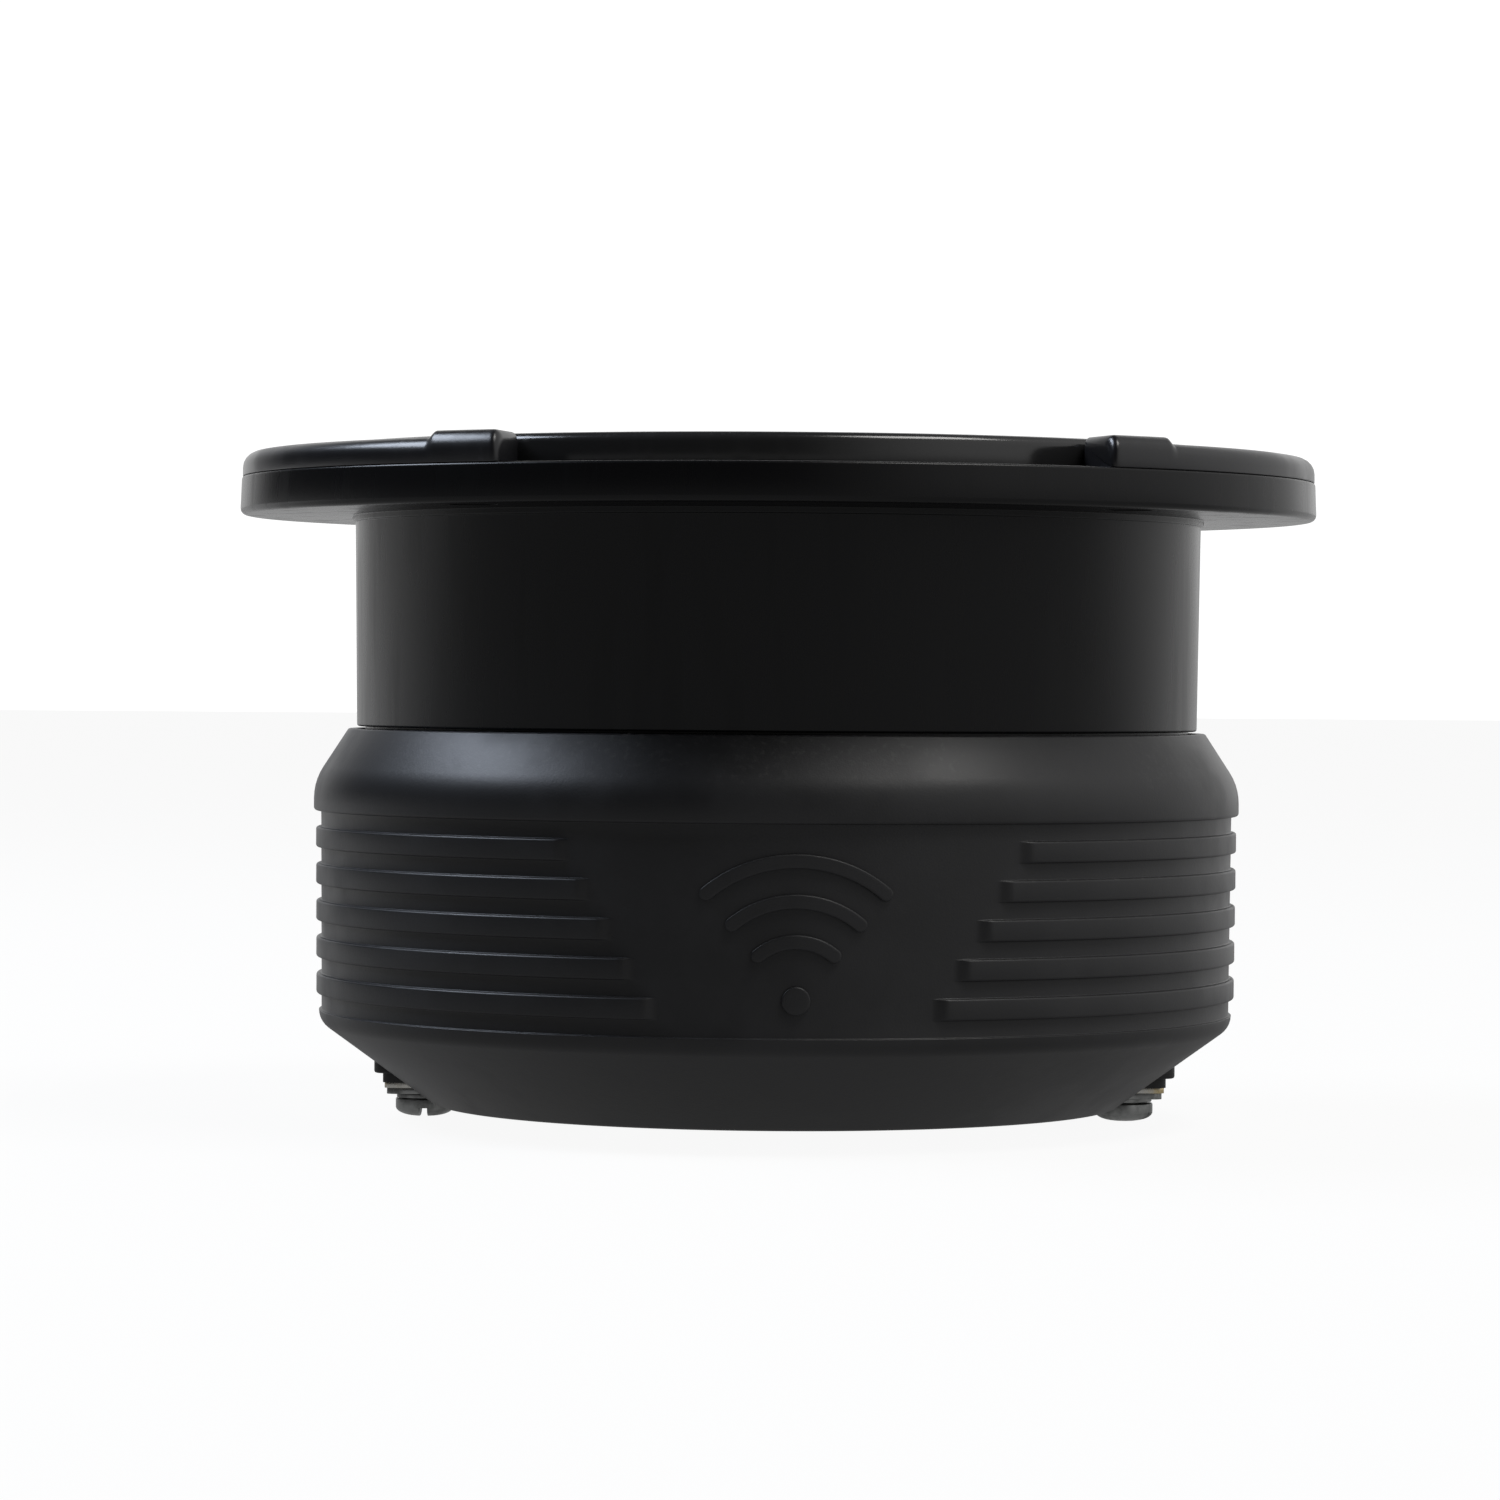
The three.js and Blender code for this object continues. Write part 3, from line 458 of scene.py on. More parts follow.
def prism(name, points, low, high):
    """A flat outline in X and Y raised from one plane to another."""
    n = len(points)
    vertices = [Vector((x, y, z)) for z in (low, high) for x, y in points]
    sides = [[i, (i + 1) % n, n + (i + 1) % n, n + i] for i in range(n)]
    return mesh_object(name, vertices, [list(range(n))[::-1], list(range(n, 2 * n)), *sides])


def circle(radius, columns=TERMINAL_COLUMNS, centre=(0.0, 0.0)):
    return [Vector(centre) + polar(radius, turn, 0).xy for turn in around(columns)]


def rounded_rectangle(length_x, width_y, corner, centre_x=0.0):
    x, y = length_x / 2, width_y / 2
    corners = [(-x, -y, corner), (x, -y, corner), (x, y, corner), (-x, y, corner)]
    return [point + Vector((centre_x, 0)) for point in outline(corners)]


def turned(obj, turn):
    """Turns an object's mesh about the Z axis."""
    obj.data.transform(Matrix.Rotation(turn, 4, "Z"))
    return obj


def finish(obj, material, body, slot, *nodes):
    """Gives a piece its material and its body, and hides the CAD nodes that it stands for; the slot is not
    used.
    """
    obj.data.materials.clear()
    obj.data.materials.append(material)
    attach(obj, body)
    if nodes:
        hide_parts(*nodes)


# ---- Shared effects ----
def new_group(name, inputs, outputs):
    """A shader node group with named float inputs and outputs, and its input and output nodes."""
    group = bpy.data.node_groups.new(name, "ShaderNodeTree")
    for label, default in inputs.items():
        socket = group.interface.new_socket(name=label, in_out="INPUT", socket_type="NodeSocketFloat")
        socket.default_value = default
    for label in outputs:
        group.interface.new_socket(name=label, in_out="OUTPUT", socket_type="NodeSocketFloat")
    return group, group.nodes.new("NodeGroupInput"), group.nodes.new("NodeGroupOutput")


def add_math(tree, operation, first, second=None, third=None, clamp=False):
    """A math node whose inputs are sockets or numbers; returns its output."""
    node = tree.nodes.new("ShaderNodeMath")
    node.operation = operation
    node.use_clamp = clamp
    for socket, value in zip(node.inputs, (first, second, third)):
        if isinstance(value, (int, float)):
            socket.default_value = value
        elif value is not None:
            tree.links.new(value, socket)
    return node.outputs[0]


def place(tree):
    """The place on the piece, in metres in the frame."""
    return tree.nodes.new("ShaderNodeTexCoord").outputs["Object"]


def add_noise(tree, scale, detail=2.0, roughness=0.5, position=None):
    node = tree.nodes.new("ShaderNodeTexNoise")
    node.inputs["Detail"].default_value = detail
    node.inputs["Roughness"].default_value = roughness
    if isinstance(scale, (int, float)):
        node.inputs["Scale"].default_value = scale
    else:
        tree.links.new(scale, node.inputs["Scale"])
    tree.links.new(position or place(tree), node.inputs["Vector"])
    return node.outputs["Fac"]


def remap(tree, value, low, high, to_low=0.0, to_high=1.0):
    """Spreads a value from one range to another, smoothly and clamped."""
    node = tree.nodes.new("ShaderNodeMapRange")
    node.interpolation_type = "SMOOTHSTEP"
    for label, number in (("From Min", low), ("From Max", high), ("To Min", to_low), ("To Max", to_high)):
        if isinstance(number, (int, float)):
            node.inputs[label].default_value = number
        else:
            tree.links.new(number, node.inputs[label])
    tree.links.new(value, node.inputs["Value"])
    return node.outputs["Result"]


def grain_group():
    """Fine moulded grain, as a height and as a mask of its hollows, which some materials paint darker as
    painted shade.
    """
    group, given, out = new_group("Moulded Grain", {"Scale": 3000.0, "Softness": 0.5}, ("Height", "Hollow Shade"))
    fine = add_noise(group, given.outputs["Scale"], detail=3.0)
    coarse = add_noise(group, add_math(group, "MULTIPLY", given.outputs["Scale"], 0.27), detail=2.0)
    step = add_math(group, "SUBTRACT", coarse, fine)
    blend = add_math(group, "MULTIPLY_ADD", step, given.outputs["Softness"], fine)
    group.links.new(blend, out.inputs["Height"])
    # mask of the grain's hollows, which materials paint darker as painted shade
    group.links.new(remap(group, blend, 0.52, 0.36), out.inputs["Hollow Shade"])
    return group


def handling_group():
    """Large faint patches where a surface was touched or wiped."""
    group, given, out = new_group("Handling", {"Scale": 60.0}, ("Patches", "Streaks"))
    patches = add_noise(group, given.outputs["Scale"], detail=4.0, roughness=0.6)
    group.links.new(remap(group, patches, 0.38, 0.66), out.inputs["Patches"])
    stretch = group.nodes.new("ShaderNodeVectorMath")
    stretch.operation = "MULTIPLY"
    stretch.inputs[1].default_value = (1.0, 1.0, 0.12)
    group.links.new(place(group), stretch.inputs[0])
    scale = add_math(group, "MULTIPLY", given.outputs["Scale"], 5.0)
    streaks = add_noise(group, scale, detail=3.0, roughness=0.6, position=stretch.outputs[0])
    group.links.new(remap(group, streaks, 0.45, 0.75), out.inputs["Streaks"])
    return group


def dust_group():
    """Fine dust on faces that look up, thicker in patches."""
    group, given, out = new_group("Dust", {"Amount": 0.1, "Scale": 900.0}, ("Mask",))
    normal = group.nodes.new("ShaderNodeNewGeometry").outputs["Normal"]
    split = group.nodes.new("ShaderNodeSeparateXYZ")
    group.links.new(normal, split.inputs[0])
    upward = remap(group, split.outputs["Z"], 0.15, 0.95)
    specks = remap(group, add_noise(group, given.outputs["Scale"], detail=5.0, roughness=0.7), 0.5, 0.72)
    broad = add_math(group, "MULTIPLY", given.outputs["Scale"], 0.06)
    patches = remap(group, add_noise(group, broad), 0.35, 0.7)
    cover = add_math(group, "MULTIPLY", add_math(group, "MULTIPLY", upward, specks), patches)
    mask = add_math(group, "MULTIPLY", cover, given.outputs["Amount"], clamp=True)
    group.links.new(mask, out.inputs["Mask"])
    return group


def edge_wear_group():
    """Worn convex edges, broken up by noise."""
    group, given, out = new_group("Edge Wear", {"Amount": 0.5, "Scale": 700.0}, ("Mask",))
    point = group.nodes.new("ShaderNodeNewGeometry").outputs["Pointiness"]
    edge = remap(group, point, 0.53, 0.62)
    broken = remap(group, add_noise(group, given.outputs["Scale"], detail=4.0, roughness=0.65), 0.38, 0.68)
    worn = add_math(group, "MULTIPLY", edge, broken)
    mask = add_math(group, "MULTIPLY", worn, given.outputs["Amount"], clamp=True)
    group.links.new(mask, out.inputs["Mask"])
    return group


def turning_group():
    """Fine rings left by a lathe tool, about an axis that is parallel to Z."""
    inputs = {"Pitch": 0.0002, "Centre X": 0.0, "Wander": 0.4}
    group, given, out = new_group("Turning Marks", inputs, ("Height",))
    split = group.nodes.new("ShaderNodeSeparateXYZ")
    group.links.new(place(group), split.inputs[0])
    x = add_math(group, "SUBTRACT", split.outputs["X"], given.outputs["Centre X"])
    y_squared = add_math(group, "MULTIPLY", split.outputs["Y"], split.outputs["Y"])
    radius = add_math(group, "SQRT", add_math(group, "MULTIPLY_ADD", x, x, y_squared))
    reached = add_math(group, "ADD", radius, split.outputs["Z"])
    along = add_math(group, "DIVIDE", reached, given.outputs["Pitch"])
    drift = add_math(group, "MULTIPLY", add_noise(group, 900.0, detail=3.0), given.outputs["Wander"])
    lines = group.nodes.new("ShaderNodeTexNoise")
    lines.noise_dimensions = "1D"
    lines.inputs["Scale"].default_value = 1.0
    lines.inputs["Detail"].default_value = 3.0
    group.links.new(add_math(group, "ADD", along, drift), lines.inputs["W"])
    group.links.new(lines.outputs["Fac"], out.inputs["Height"])
    return group


EFFECT_MAKERS = {
    "grain": grain_group,
    "handling": handling_group,
    "dust": dust_group,
    "wear": edge_wear_group,
    "turning": turning_group,
}
effects = {}


def effect(tree, kind, **values):
    """Places a shared effect in a material with its own values."""
    if kind not in effects:
        effects[kind] = EFFECT_MAKERS[kind]()
    node = tree.nodes.new("ShaderNodeGroup")
    node.node_tree = effects[kind]
    for label, value in values.items():
        node.inputs[label.replace("_", " ")].default_value = value
    return node.outputs


# ---- Materials ----
class Surface:
    """A material's node tree with its Principled shader, and short ways to feed it."""

    def __init__(self, name, **plain):
        self.material = bpy.data.materials.new(name)
        self.material.use_nodes = True
        self.tree = self.material.node_tree
        self.shader = self.tree.nodes["Principled BSDF"]
        for label, value in plain.items():
            self.shader.inputs[label.replace("_", " ")].default_value = value

    def blend(self, mask, first, second):
        """A colour that goes from the first to the second with a mask; each is a colour or a socket."""
        node = self.tree.nodes.new("ShaderNodeMix")
        node.data_type = "RGBA"
        self.tree.links.new(mask, node.inputs["Factor"])
        for socket, value in ((node.inputs["A"], first), (node.inputs["B"], second)):
            if isinstance(value, bpy.types.NodeSocket):
                self.tree.links.new(value, socket)
            else:
                socket.default_value = (*value, 1.0)
        return node.outputs["Result"]

    def feed(self, label, socket):
        self.tree.links.new(socket, self.shader.inputs[label])

    def dress(self, tone, mask, roughness, height, depth, strength):
        """Feeds the colour, a roughness that a mask varies, and a height as bump, its depth in metres."""
        self.feed("Base Color", tone)
        self.feed("Roughness", remap(self.tree, mask, 0.0, 1.0, *roughness))
        bump = self.tree.nodes.new("ShaderNodeBump")
        bump.inputs["Distance"].default_value = depth
        bump.inputs["Strength"].default_value = strength
        self.tree.links.new(height, bump.inputs["Height"])
        self.feed("Normal", bump.outputs["Normal"])
        return self.material


def lighter(tint, factor, lift=0.0):
    return tuple(min(1.0, part * factor + lift) for part in tint)


def boot_rubber(tint):
    """Satin moulded rubber with faint bloom, dust on what looks up and a dull grain."""
    surface = Surface("Boot Rubber", IOR=1.47, Specular_IOR_Level=0.42)
    grain = effect(surface.tree, "grain", Scale=5200.0, Softness=0.45)
    handling = effect(surface.tree, "handling", Scale=75.0)
    dust = effect(surface.tree, "dust", Amount=0.3, Scale=1500.0)
    bloom = surface.blend(handling["Patches"], tint, lighter(tint, 1.35, 0.001))
    tone = surface.blend(dust["Mask"], bloom, (0.16, 0.155, 0.15))
    return surface.dress(tone, handling["Patches"], roughness=(0.4, 0.47),
                         height=grain["Height"], depth=0.00003, strength=0.5)


def horn_plastic(tint):
    """Satin black moulding, smooth, with faint streaks from wiping."""
    surface = Surface("Horn Moulding", IOR=1.5, Specular_IOR_Level=0.24)
    grain = effect(surface.tree, "grain", Scale=4200.0, Softness=0.6)
    handling = effect(surface.tree, "handling", Scale=55.0)
    dust = effect(surface.tree, "dust", Amount=0.25, Scale=1800.0)
    tone = surface.blend(dust["Mask"], tint, (0.14, 0.14, 0.14))
    return surface.dress(tone, handling["Streaks"], roughness=(0.27, 0.33),
                         height=grain["Height"], depth=0.00001, strength=0.35)


def cover_plastic(tint):
    """Satin cover, a little coarser than the horn, rubbed bright along its edges."""
    surface = Surface("Cover Moulding", IOR=1.5, Specular_IOR_Level=0.5)
    grain = effect(surface.tree, "grain", Scale=3800.0, Softness=0.5)
    handling = effect(surface.tree, "handling", Scale=90.0)
    wear = effect(surface.tree, "wear", Amount=0.35, Scale=900.0)
    dust = effect(surface.tree, "dust", Amount=0.3, Scale=1600.0)
    rubbed = surface.blend(wear["Mask"], tint, lighter(tint, 3.0, 0.01))
    tone = surface.blend(dust["Mask"], rubbed, (0.15, 0.15, 0.15))
    return surface.dress(tone, handling["Patches"], roughness=(0.28, 0.36),
                         height=grain["Height"], depth=0.000015, strength=0.4)


def gloss_plastic(tint):
    """Polished black with hairline wiping marks."""
    surface = Surface("Polished Ring", IOR=1.5, Specular_IOR_Level=0.6)
    handling = effect(surface.tree, "handling", Scale=120.0)
    dust = effect(surface.tree, "dust", Amount=0.2, Scale=2000.0)
    tone = surface.blend(dust["Mask"], tint, (0.15, 0.15, 0.15))
    return surface.dress(tone, handling["Streaks"], roughness=(0.17, 0.26),
                         height=handling["Patches"], depth=0.000004, strength=0.3)


def spun_aluminium(tint):
    """Spun and lacquered aluminium with fine rings."""
    surface = Surface("Spun Aluminium", Metallic=1.0)
    turning = effect(surface.tree, "turning", Pitch=0.00016, Wander=0.8)
    handling = effect(surface.tree, "handling", Scale=80.0)
    tone = surface.blend(handling["Patches"], tint, lighter(tint, 0.9))
    return surface.dress(tone, turning["Height"], roughness=(0.2, 0.36),
                         height=turning["Height"], depth=0.000008, strength=0.6)


def zinc_steel(name, tint, centre_x=0.0):
    """Zinc-plated steel, turned, a little stained and worn along its edges."""
    surface = Surface(name, Metallic=1.0)
    turning = effect(surface.tree, "turning", Pitch=0.00012, Centre_X=centre_x, Wander=1.5)
    handling = effect(surface.tree, "handling", Scale=420.0)
    wear = effect(surface.tree, "wear", Amount=0.6, Scale=2500.0)
    stained = surface.blend(handling["Patches"], tint, lighter(tint, 0.62))
    tone = surface.blend(wear["Mask"], stained, lighter(tint, 1.35))
    return surface.dress(tone, handling["Patches"], roughness=(0.28, 0.5),
                         height=turning["Height"], depth=0.000006, strength=0.5)


def tinned_brass(tint):
    """Punched brass with worn tin, brighter along its edges."""
    surface = Surface("Tinned Brass", Metallic=1.0)
    handling = effect(surface.tree, "handling", Scale=500.0)
    wear = effect(surface.tree, "wear", Amount=0.8, Scale=2200.0)
    tin = (0.56, 0.55, 0.52)
    tone = surface.blend(wear["Mask"], surface.blend(handling["Patches"], tin, tint), tint)
    return surface.dress(tone, handling["Streaks"], roughness=(0.25, 0.45),
                         height=handling["Streaks"], depth=0.000008, strength=0.5)


def nylon_block(tint):
    """Matt moulded nylon, its raised grain lighter and its grain's hollows darker as painted shade."""
    surface = Surface("Nylon", Specular_IOR_Level=0.4)
    grain = effect(surface.tree, "grain", Scale=6000.0, Softness=0.3)
    # painted shade: the grain's hollows keep the plain tint while the raised grain is lighter
    tone = surface.blend(grain["Hollow Shade"], lighter(tint, 1.4), tint)
    return surface.dress(tone, grain["Height"], roughness=(0.45, 0.65),
                         height=grain["Height"], depth=0.00002, strength=0.5)


def ferrite(tint):
    """Ground ceramic magnet with open pores, painted darker in the grain's hollows as painted shade."""
    surface = Surface("Ferrite", Specular_IOR_Level=0.45)
    grain = effect(surface.tree, "grain", Scale=2600.0, Softness=0.3)
    # painted shade: the grain's hollows are darker than the rest of the magnet
    tone = surface.blend(grain["Hollow Shade"], lighter(tint, 1.5), lighter(tint, 0.4))
    return surface.dress(tone, grain["Height"], roughness=(0.55, 0.85),
                         height=grain["Height"], depth=0.00005, strength=0.7)


def woven_phenolic(tint):
    """Varnished cloth with its weave showing."""
    surface = Surface("Phenolic Cloth", Specular_IOR_Level=0.5)
    weave = surface.tree.nodes.new("ShaderNodeTexWave")
    weave.inputs["Scale"].default_value = 900.0
    weave.inputs["Distortion"].default_value = 1.5
    surface.tree.links.new(place(surface.tree), weave.inputs["Vector"])
    tone = surface.blend(weave.outputs["Fac"], lighter(tint, 0.7), lighter(tint, 1.4))
    return surface.dress(tone, weave.outputs["Fac"], roughness=(0.4, 0.6),
                         height=weave.outputs["Fac"], depth=0.00003, strength=0.5)


def enamelled_copper(tint):
    """Copper under a clear enamel, in fine turns."""
    surface = Surface("Enamelled Copper", Metallic=1.0)
    turning = effect(surface.tree, "turning", Pitch=0.0003, Wander=0.2)
    tone = surface.blend(turning["Height"], lighter(tint, 0.6), lighter(tint, 1.3))
    return surface.dress(tone, turning["Height"], roughness=(0.22, 0.42),
                         height=turning["Height"], depth=0.00003, strength=0.7)


def pressed_felt(tint):
    """Pressed wool felt, painted darker in the grain's hollows as painted shade."""
    surface = Surface("Felt", Specular_IOR_Level=0.15)
    grain = effect(surface.tree, "grain", Scale=1500.0, Softness=0.7)
    # painted shade: the grain's hollows are darker than the raised felt
    tone = surface.blend(grain["Hollow Shade"], lighter(tint, 1.2), lighter(tint, 0.5))
    return surface.dress(tone, grain["Height"], roughness=(0.85, 1.0),
                         height=grain["Height"], depth=0.0003, strength=0.8)


# ---- Magnet boot ----
def boot_planes(boot):
    """The boot's planes and radii that other pieces of it line up with."""
    chamfer = math.tan(boot.chamfer_angle)
    inner = bottom("back_plate")
    base = inner - boot.floor
    band_front = boot.shoulder_radius - boot.shoulder_proud
    band_rear = band_front - boot.band_draft
    cavity = reach("magnet_ring_1") + MAGNET_GAP
    cavity_start = cavity - (top("back_plate") - PLATE_GAP - inner) * chamfer
    base_radius = cavity_start - boot.floor * chamfer + boot.floor / math.cos(boot.chamfer_angle)
    lip = band_rear + boot.lip_proud
    chamfer_top = base + (lip - base_radius) / chamfer
    return {
        "base": base,
        "base_radius": base_radius,
        "inner": inner,
        "cavity": cavity,
        "cavity_start": cavity_start,
        "lip": lip,
        "chamfer_top": chamfer_top,
        "lip_front": chamfer_top + boot.lip_land,
        "band_rear": band_rear,
        "band_front": band_front,
        "shoulder_rear": top("magnet_boot") - boot.shoulder_height,
        "top": top("magnet_boot"),
    }


def rib_planes(boot, at):
    """The rear plane of each rib, evenly spaced over the band."""
    free = at["shoulder_rear"] - at["lip_front"] - boot.rib_count * boot.rib_width
    gap = free / (boot.rib_count + 1)
    return [at["lip_front"] + gap + i * (boot.rib_width + gap) for i in range(boot.rib_count)]


def band_radius(at, z):
    along = (z - at["lip_front"]) / (at["shoulder_rear"] - at["lip_front"])
    return at["band_rear"] + (at["band_front"] - at["band_rear"]) * along


def rib_ends(boot):
    """Where each rib ends on both sides of the plain zone."""
    ends = []
    for i in range(boot.rib_count):
        half = boot.blank_angle + boot.blank_step * i
        ends.append((boot.blank_turn + half, boot.blank_turn + FULL_TURN - half))
    return ends


def boot_angles(boot):
    """Even columns, with close ones where ribs end."""
    shares = [step / RIB_END_STEPS - 0.5 for step in range(RIB_END_STEPS + 1)]
    close = [end + fade_angle(boot) * share for ends in rib_ends(boot) for end in ends for share in shares]
    return sorted({round(turn % FULL_TURN, 6) for turn in around() + close})


def fade_angle(boot):
    """The angle over which a rib rises at its ends."""
    return boot.rib_fade / boot.shoulder_radius


def boot_outside(boot, at):
    """The boot's outer form with its ribs, as a solid down to the axis."""
    taper = math.tan(boot.taper_angle)
    rim = at["cavity"] + boot.rim_wall
    taper_rear = at["top"] - (boot.shoulder_radius - rim) / taper
    corners = [
        (0, 0),
        (boot.foot_radius, 0, boot.foot_edge),
        (boot.foot_radius, at["base"], boot.foot_root),
        (at["base_radius"], at["base"], boot.base_edge),
        (at["lip"], at["chamfer_top"], boot.lip_round),
        (at["lip"], at["lip_front"], boot.lip_edge),
        (at["band_rear"], at["lip_front"], CRISP_EDGE),
    ]
    lead = len(outline([*corners, (at["band_front"], at["shoulder_rear"])])) - 1
    rib_of = {}
    for i, rear in enumerate(rib_planes(boot, at)):
        foot, crest = band_radius(at, rear), band_radius(at, rear) + boot.rib_height
        front = rear + boot.rib_width
        corners += [
            (foot, rear, boot.rib_edge / 2),
            (crest, rear, boot.rib_edge),
            (crest, front, boot.rib_edge),
            (foot, front, boot.rib_edge / 2),
        ]
        rib_points = 4 * (FILLET_STEPS + 1)
        for k in range(rib_points):
            rib_of[lead + i * rib_points + k] = i
    corners += [
        (at["band_front"], at["shoulder_rear"], CRISP_EDGE),
        (boot.shoulder_radius, at["shoulder_rear"], boot.shoulder_edge),
        (boot.shoulder_radius, taper_rear, boot.shoulder_round),
        (rim, at["top"], boot.rim_edge),
        (0, at["top"]),
    ]
    points = outline(corners)
    ends = rib_ends(boot)

    def radius_at(index, turn):
        radius, z = points[index]
        if index not in rib_of:
            return radius
        start, end = ends[rib_of[index]]
        inside = min((turn - start) % FULL_TURN, (end - turn) % FULL_TURN)
        if (turn - start) % FULL_TURN > end - start:
            inside = -min((start - turn) % FULL_TURN, (turn - end) % FULL_TURN)
        raised = min(1.0, max(0.0, 0.5 + inside / fade_angle(boot)))
        raised = raised * raised * (3 - 2 * raised)
        flat = band_radius(at, z)
        return flat + (radius - flat) * raised

    vertices, faces = revolved(points, boot_angles(boot), shape=radius_at)
    return mesh_object("magnet_boot_surface", vertices, faces)


def window_prism(boot, margin, low, high, turn):
    centre = middle_x("terminal_nut_right") - boot.window_shift
    long, wide = boot.window_length + 2 * margin, boot.window_width + 2 * margin
    points = rounded_rectangle(long, wide, boot.window_corner, centre)
    return turned(prism("window", points, low, high), turn)


def boot_cavity(at):
    return lathe("cavity", [
        (0, at["inner"]),
        (at["cavity_start"], at["inner"]),
        (at["cavity"], top("back_plate") - PLATE_GAP),
        (at["cavity"], at["top"] + CUT_MARGIN),
        (0, at["top"] + CUT_MARGIN),
    ])


def build_boot(boot):
    at = boot_planes(boot)
    surface = boot_outside(boot, at)
    rim_rear = at["base"] + boot.window_drop
    rims = []
    for turn in SIDES.values():
        rims.append(window_prism(boot, boot.window_wall, rim_rear, rim_rear + boot.floor, turn))
        soften(rims[-1], boot.window_edge)
    boolean(surface, rims, "UNION")
    windows = [window_prism(boot, 0.0, -CUT_MARGIN, top("back_plate"), turn) for turn in SIDES.values()]
    boolean(surface, [boot_cavity(at), *windows], "DIFFERENCE")
    finish(surface, boot_rubber(boot.tint), ROOT, "boot_rubber", "magnet_boot")


def stroke_outline(radius, half_angle, half_width):
    """Points round an arc-shaped stroke with round ends, as (across, up) from the arc's centre."""
    turns = [half_angle * (2 * i / STROKE_STEPS - 1) for i in range(STROKE_STEPS + 1)]
    outer = [Vector((math.sin(t), math.cos(t))) * (radius + half_width) for t in turns]
    inner = [Vector((math.sin(t), math.cos(t))) * (radius - half_width) for t in reversed(turns)]
    caps = []
    for end, first in ((half_angle, half_angle), (-half_angle, math.pi - half_angle)):
        centre = Vector((math.sin(end), math.cos(end))) * radius
        bends = [first + math.pi * i / CAP_STEPS for i in range(1, CAP_STEPS)]
        caps.append([centre + Vector((math.sin(t), math.cos(t))) * half_width for t in bends])
    return outer + caps[0] + inner + caps[1]


def emblem_mark(emblem, at, radius, half_angle, half_width, base, turn):
    """One raised stroke, wrapped on the band and rounded along its edges."""
    edge = emblem.edge
    bends = [math.pi / 2 * i / FILLET_STEPS for i in range(FILLET_STEPS + 1)]
    levels = [(0.0, -edge)]
    levels += [(edge * (1 - math.cos(bend)), emblem.relief - edge * (1 - math.sin(bend))) for bend in bends]
    inward = [edge + (half_width - edge) * i / CREST_STEPS for i in range(1, CREST_STEPS + 1)]
    levels += [(inset, emblem.relief) for inset in inward]
    vertices = []
    for inset, height in levels:
        ring = stroke_outline(radius, half_angle, half_width - inset)
        for across, up in ring:
            z = base + up
            vertices.append(polar(band_radius(at, z) + height, turn + across / at["band_rear"], z))
    return vertices, tube_faces(len(levels), len(ring))


def build_emblem(emblem, boot):
    at = boot_planes(boot)
    base = at["lip_front"] + emblem.foot
    marks = [(0.0, 0.0, emblem.dot)]
    for i in range(emblem.arcs):
        middle = emblem.first_radius + i * emblem.spacing + emblem.stroke / 2
        marks.append((middle, emblem.half_angle, emblem.stroke / 2))
    vertices, faces = [], []
    for radius, half_angle, half_width in marks:
        points, quads = emblem_mark(emblem, at, radius, half_angle, half_width, base, boot.blank_turn)
        faces += [[len(vertices) + i for i in quad] for quad in quads]
        vertices += points
    surface = mesh_object("boot_emblem", vertices, faces)
    merge(surface)
    finish(surface, bpy.data.materials["Boot Rubber"], ROOT, "boot_rubber")


# ---- Horn ----
def flare_radius(horn, z):
    throat = reach("bullet_plug") + horn.throat_slot
    mouth = reach("mouth_ring") - bpy.context.scene.tweeter_trim.ring_width
    along = (z - bottom("horn_body")) / (top("horn_body") - bottom("horn_body"))
    return throat + (mouth - throat) * max(0.0, along) ** horn.flare_power


def build_horn(horn):
    rear, front = bottom("horn_body"), top("horn_body")
    mouth = flare_radius(horn, front)
    barrel_front = mouth + horn.mouth_inset
    barrel_rear = barrel_front - horn.barrel_draft
    flange_rear = front - horn.flange_thickness
    seam = top("magnet_boot") + SEAM_GAP
    spigot = reach("top_plate")
    lid = flange_rear - horn.lid_thickness
    inner_planes = [front + (rear - front) * i / FLARE_STEPS for i in range(1, FLARE_STEPS)]
    outer_planes = [rear + (lid - rear) * i / FLARE_STEPS for i in range(FLARE_STEPS + 1)]
    flare = [(flare_radius(horn, z), z) for z in inner_planes]
    hollow = [(flare_radius(horn, z) + horn.flare_wall, z) for z in outer_planes]
    surface = lathe("horn_surface", [
        (flare_radius(horn, rear), rear),
        *hollow,
        (barrel_rear - horn.barrel_wall, lid),
        (barrel_rear - horn.barrel_wall, rear),
        (spigot, rear),
        (spigot, seam),
        (barrel_rear, seam, horn.seam_edge),
        (barrel_front, flange_rear - horn.collar_height, horn.collar_root),
        (barrel_front + horn.collar_proud, flange_rear - horn.collar_height, horn.collar_edge),
        (barrel_front + horn.collar_proud, flange_rear, CRISP_EDGE),
        (horn.flange_radius, flange_rear, horn.flange_edge),
        (horn.flange_radius - horn.flange_draft, front, horn.flange_lip),
        (mouth, front),
        *flare,
    ], closed=True)
    boolean(surface, mounting_holes(horn, flange_rear, front), "DIFFERENCE")
    finish(surface, horn_plastic(horn.tint), ROOT, "horn", "horn_body")


def wall_angle(trim, radius, offset):
    """The angle from a notch's middle to a line beside its wall, where the line crosses a radius."""
    slant = trim.notch_slant
    from_axis = reach("screw_cover_right") * math.sin(trim.notch_angle - slant)
    return slant + math.asin((from_axis + offset) / radius)


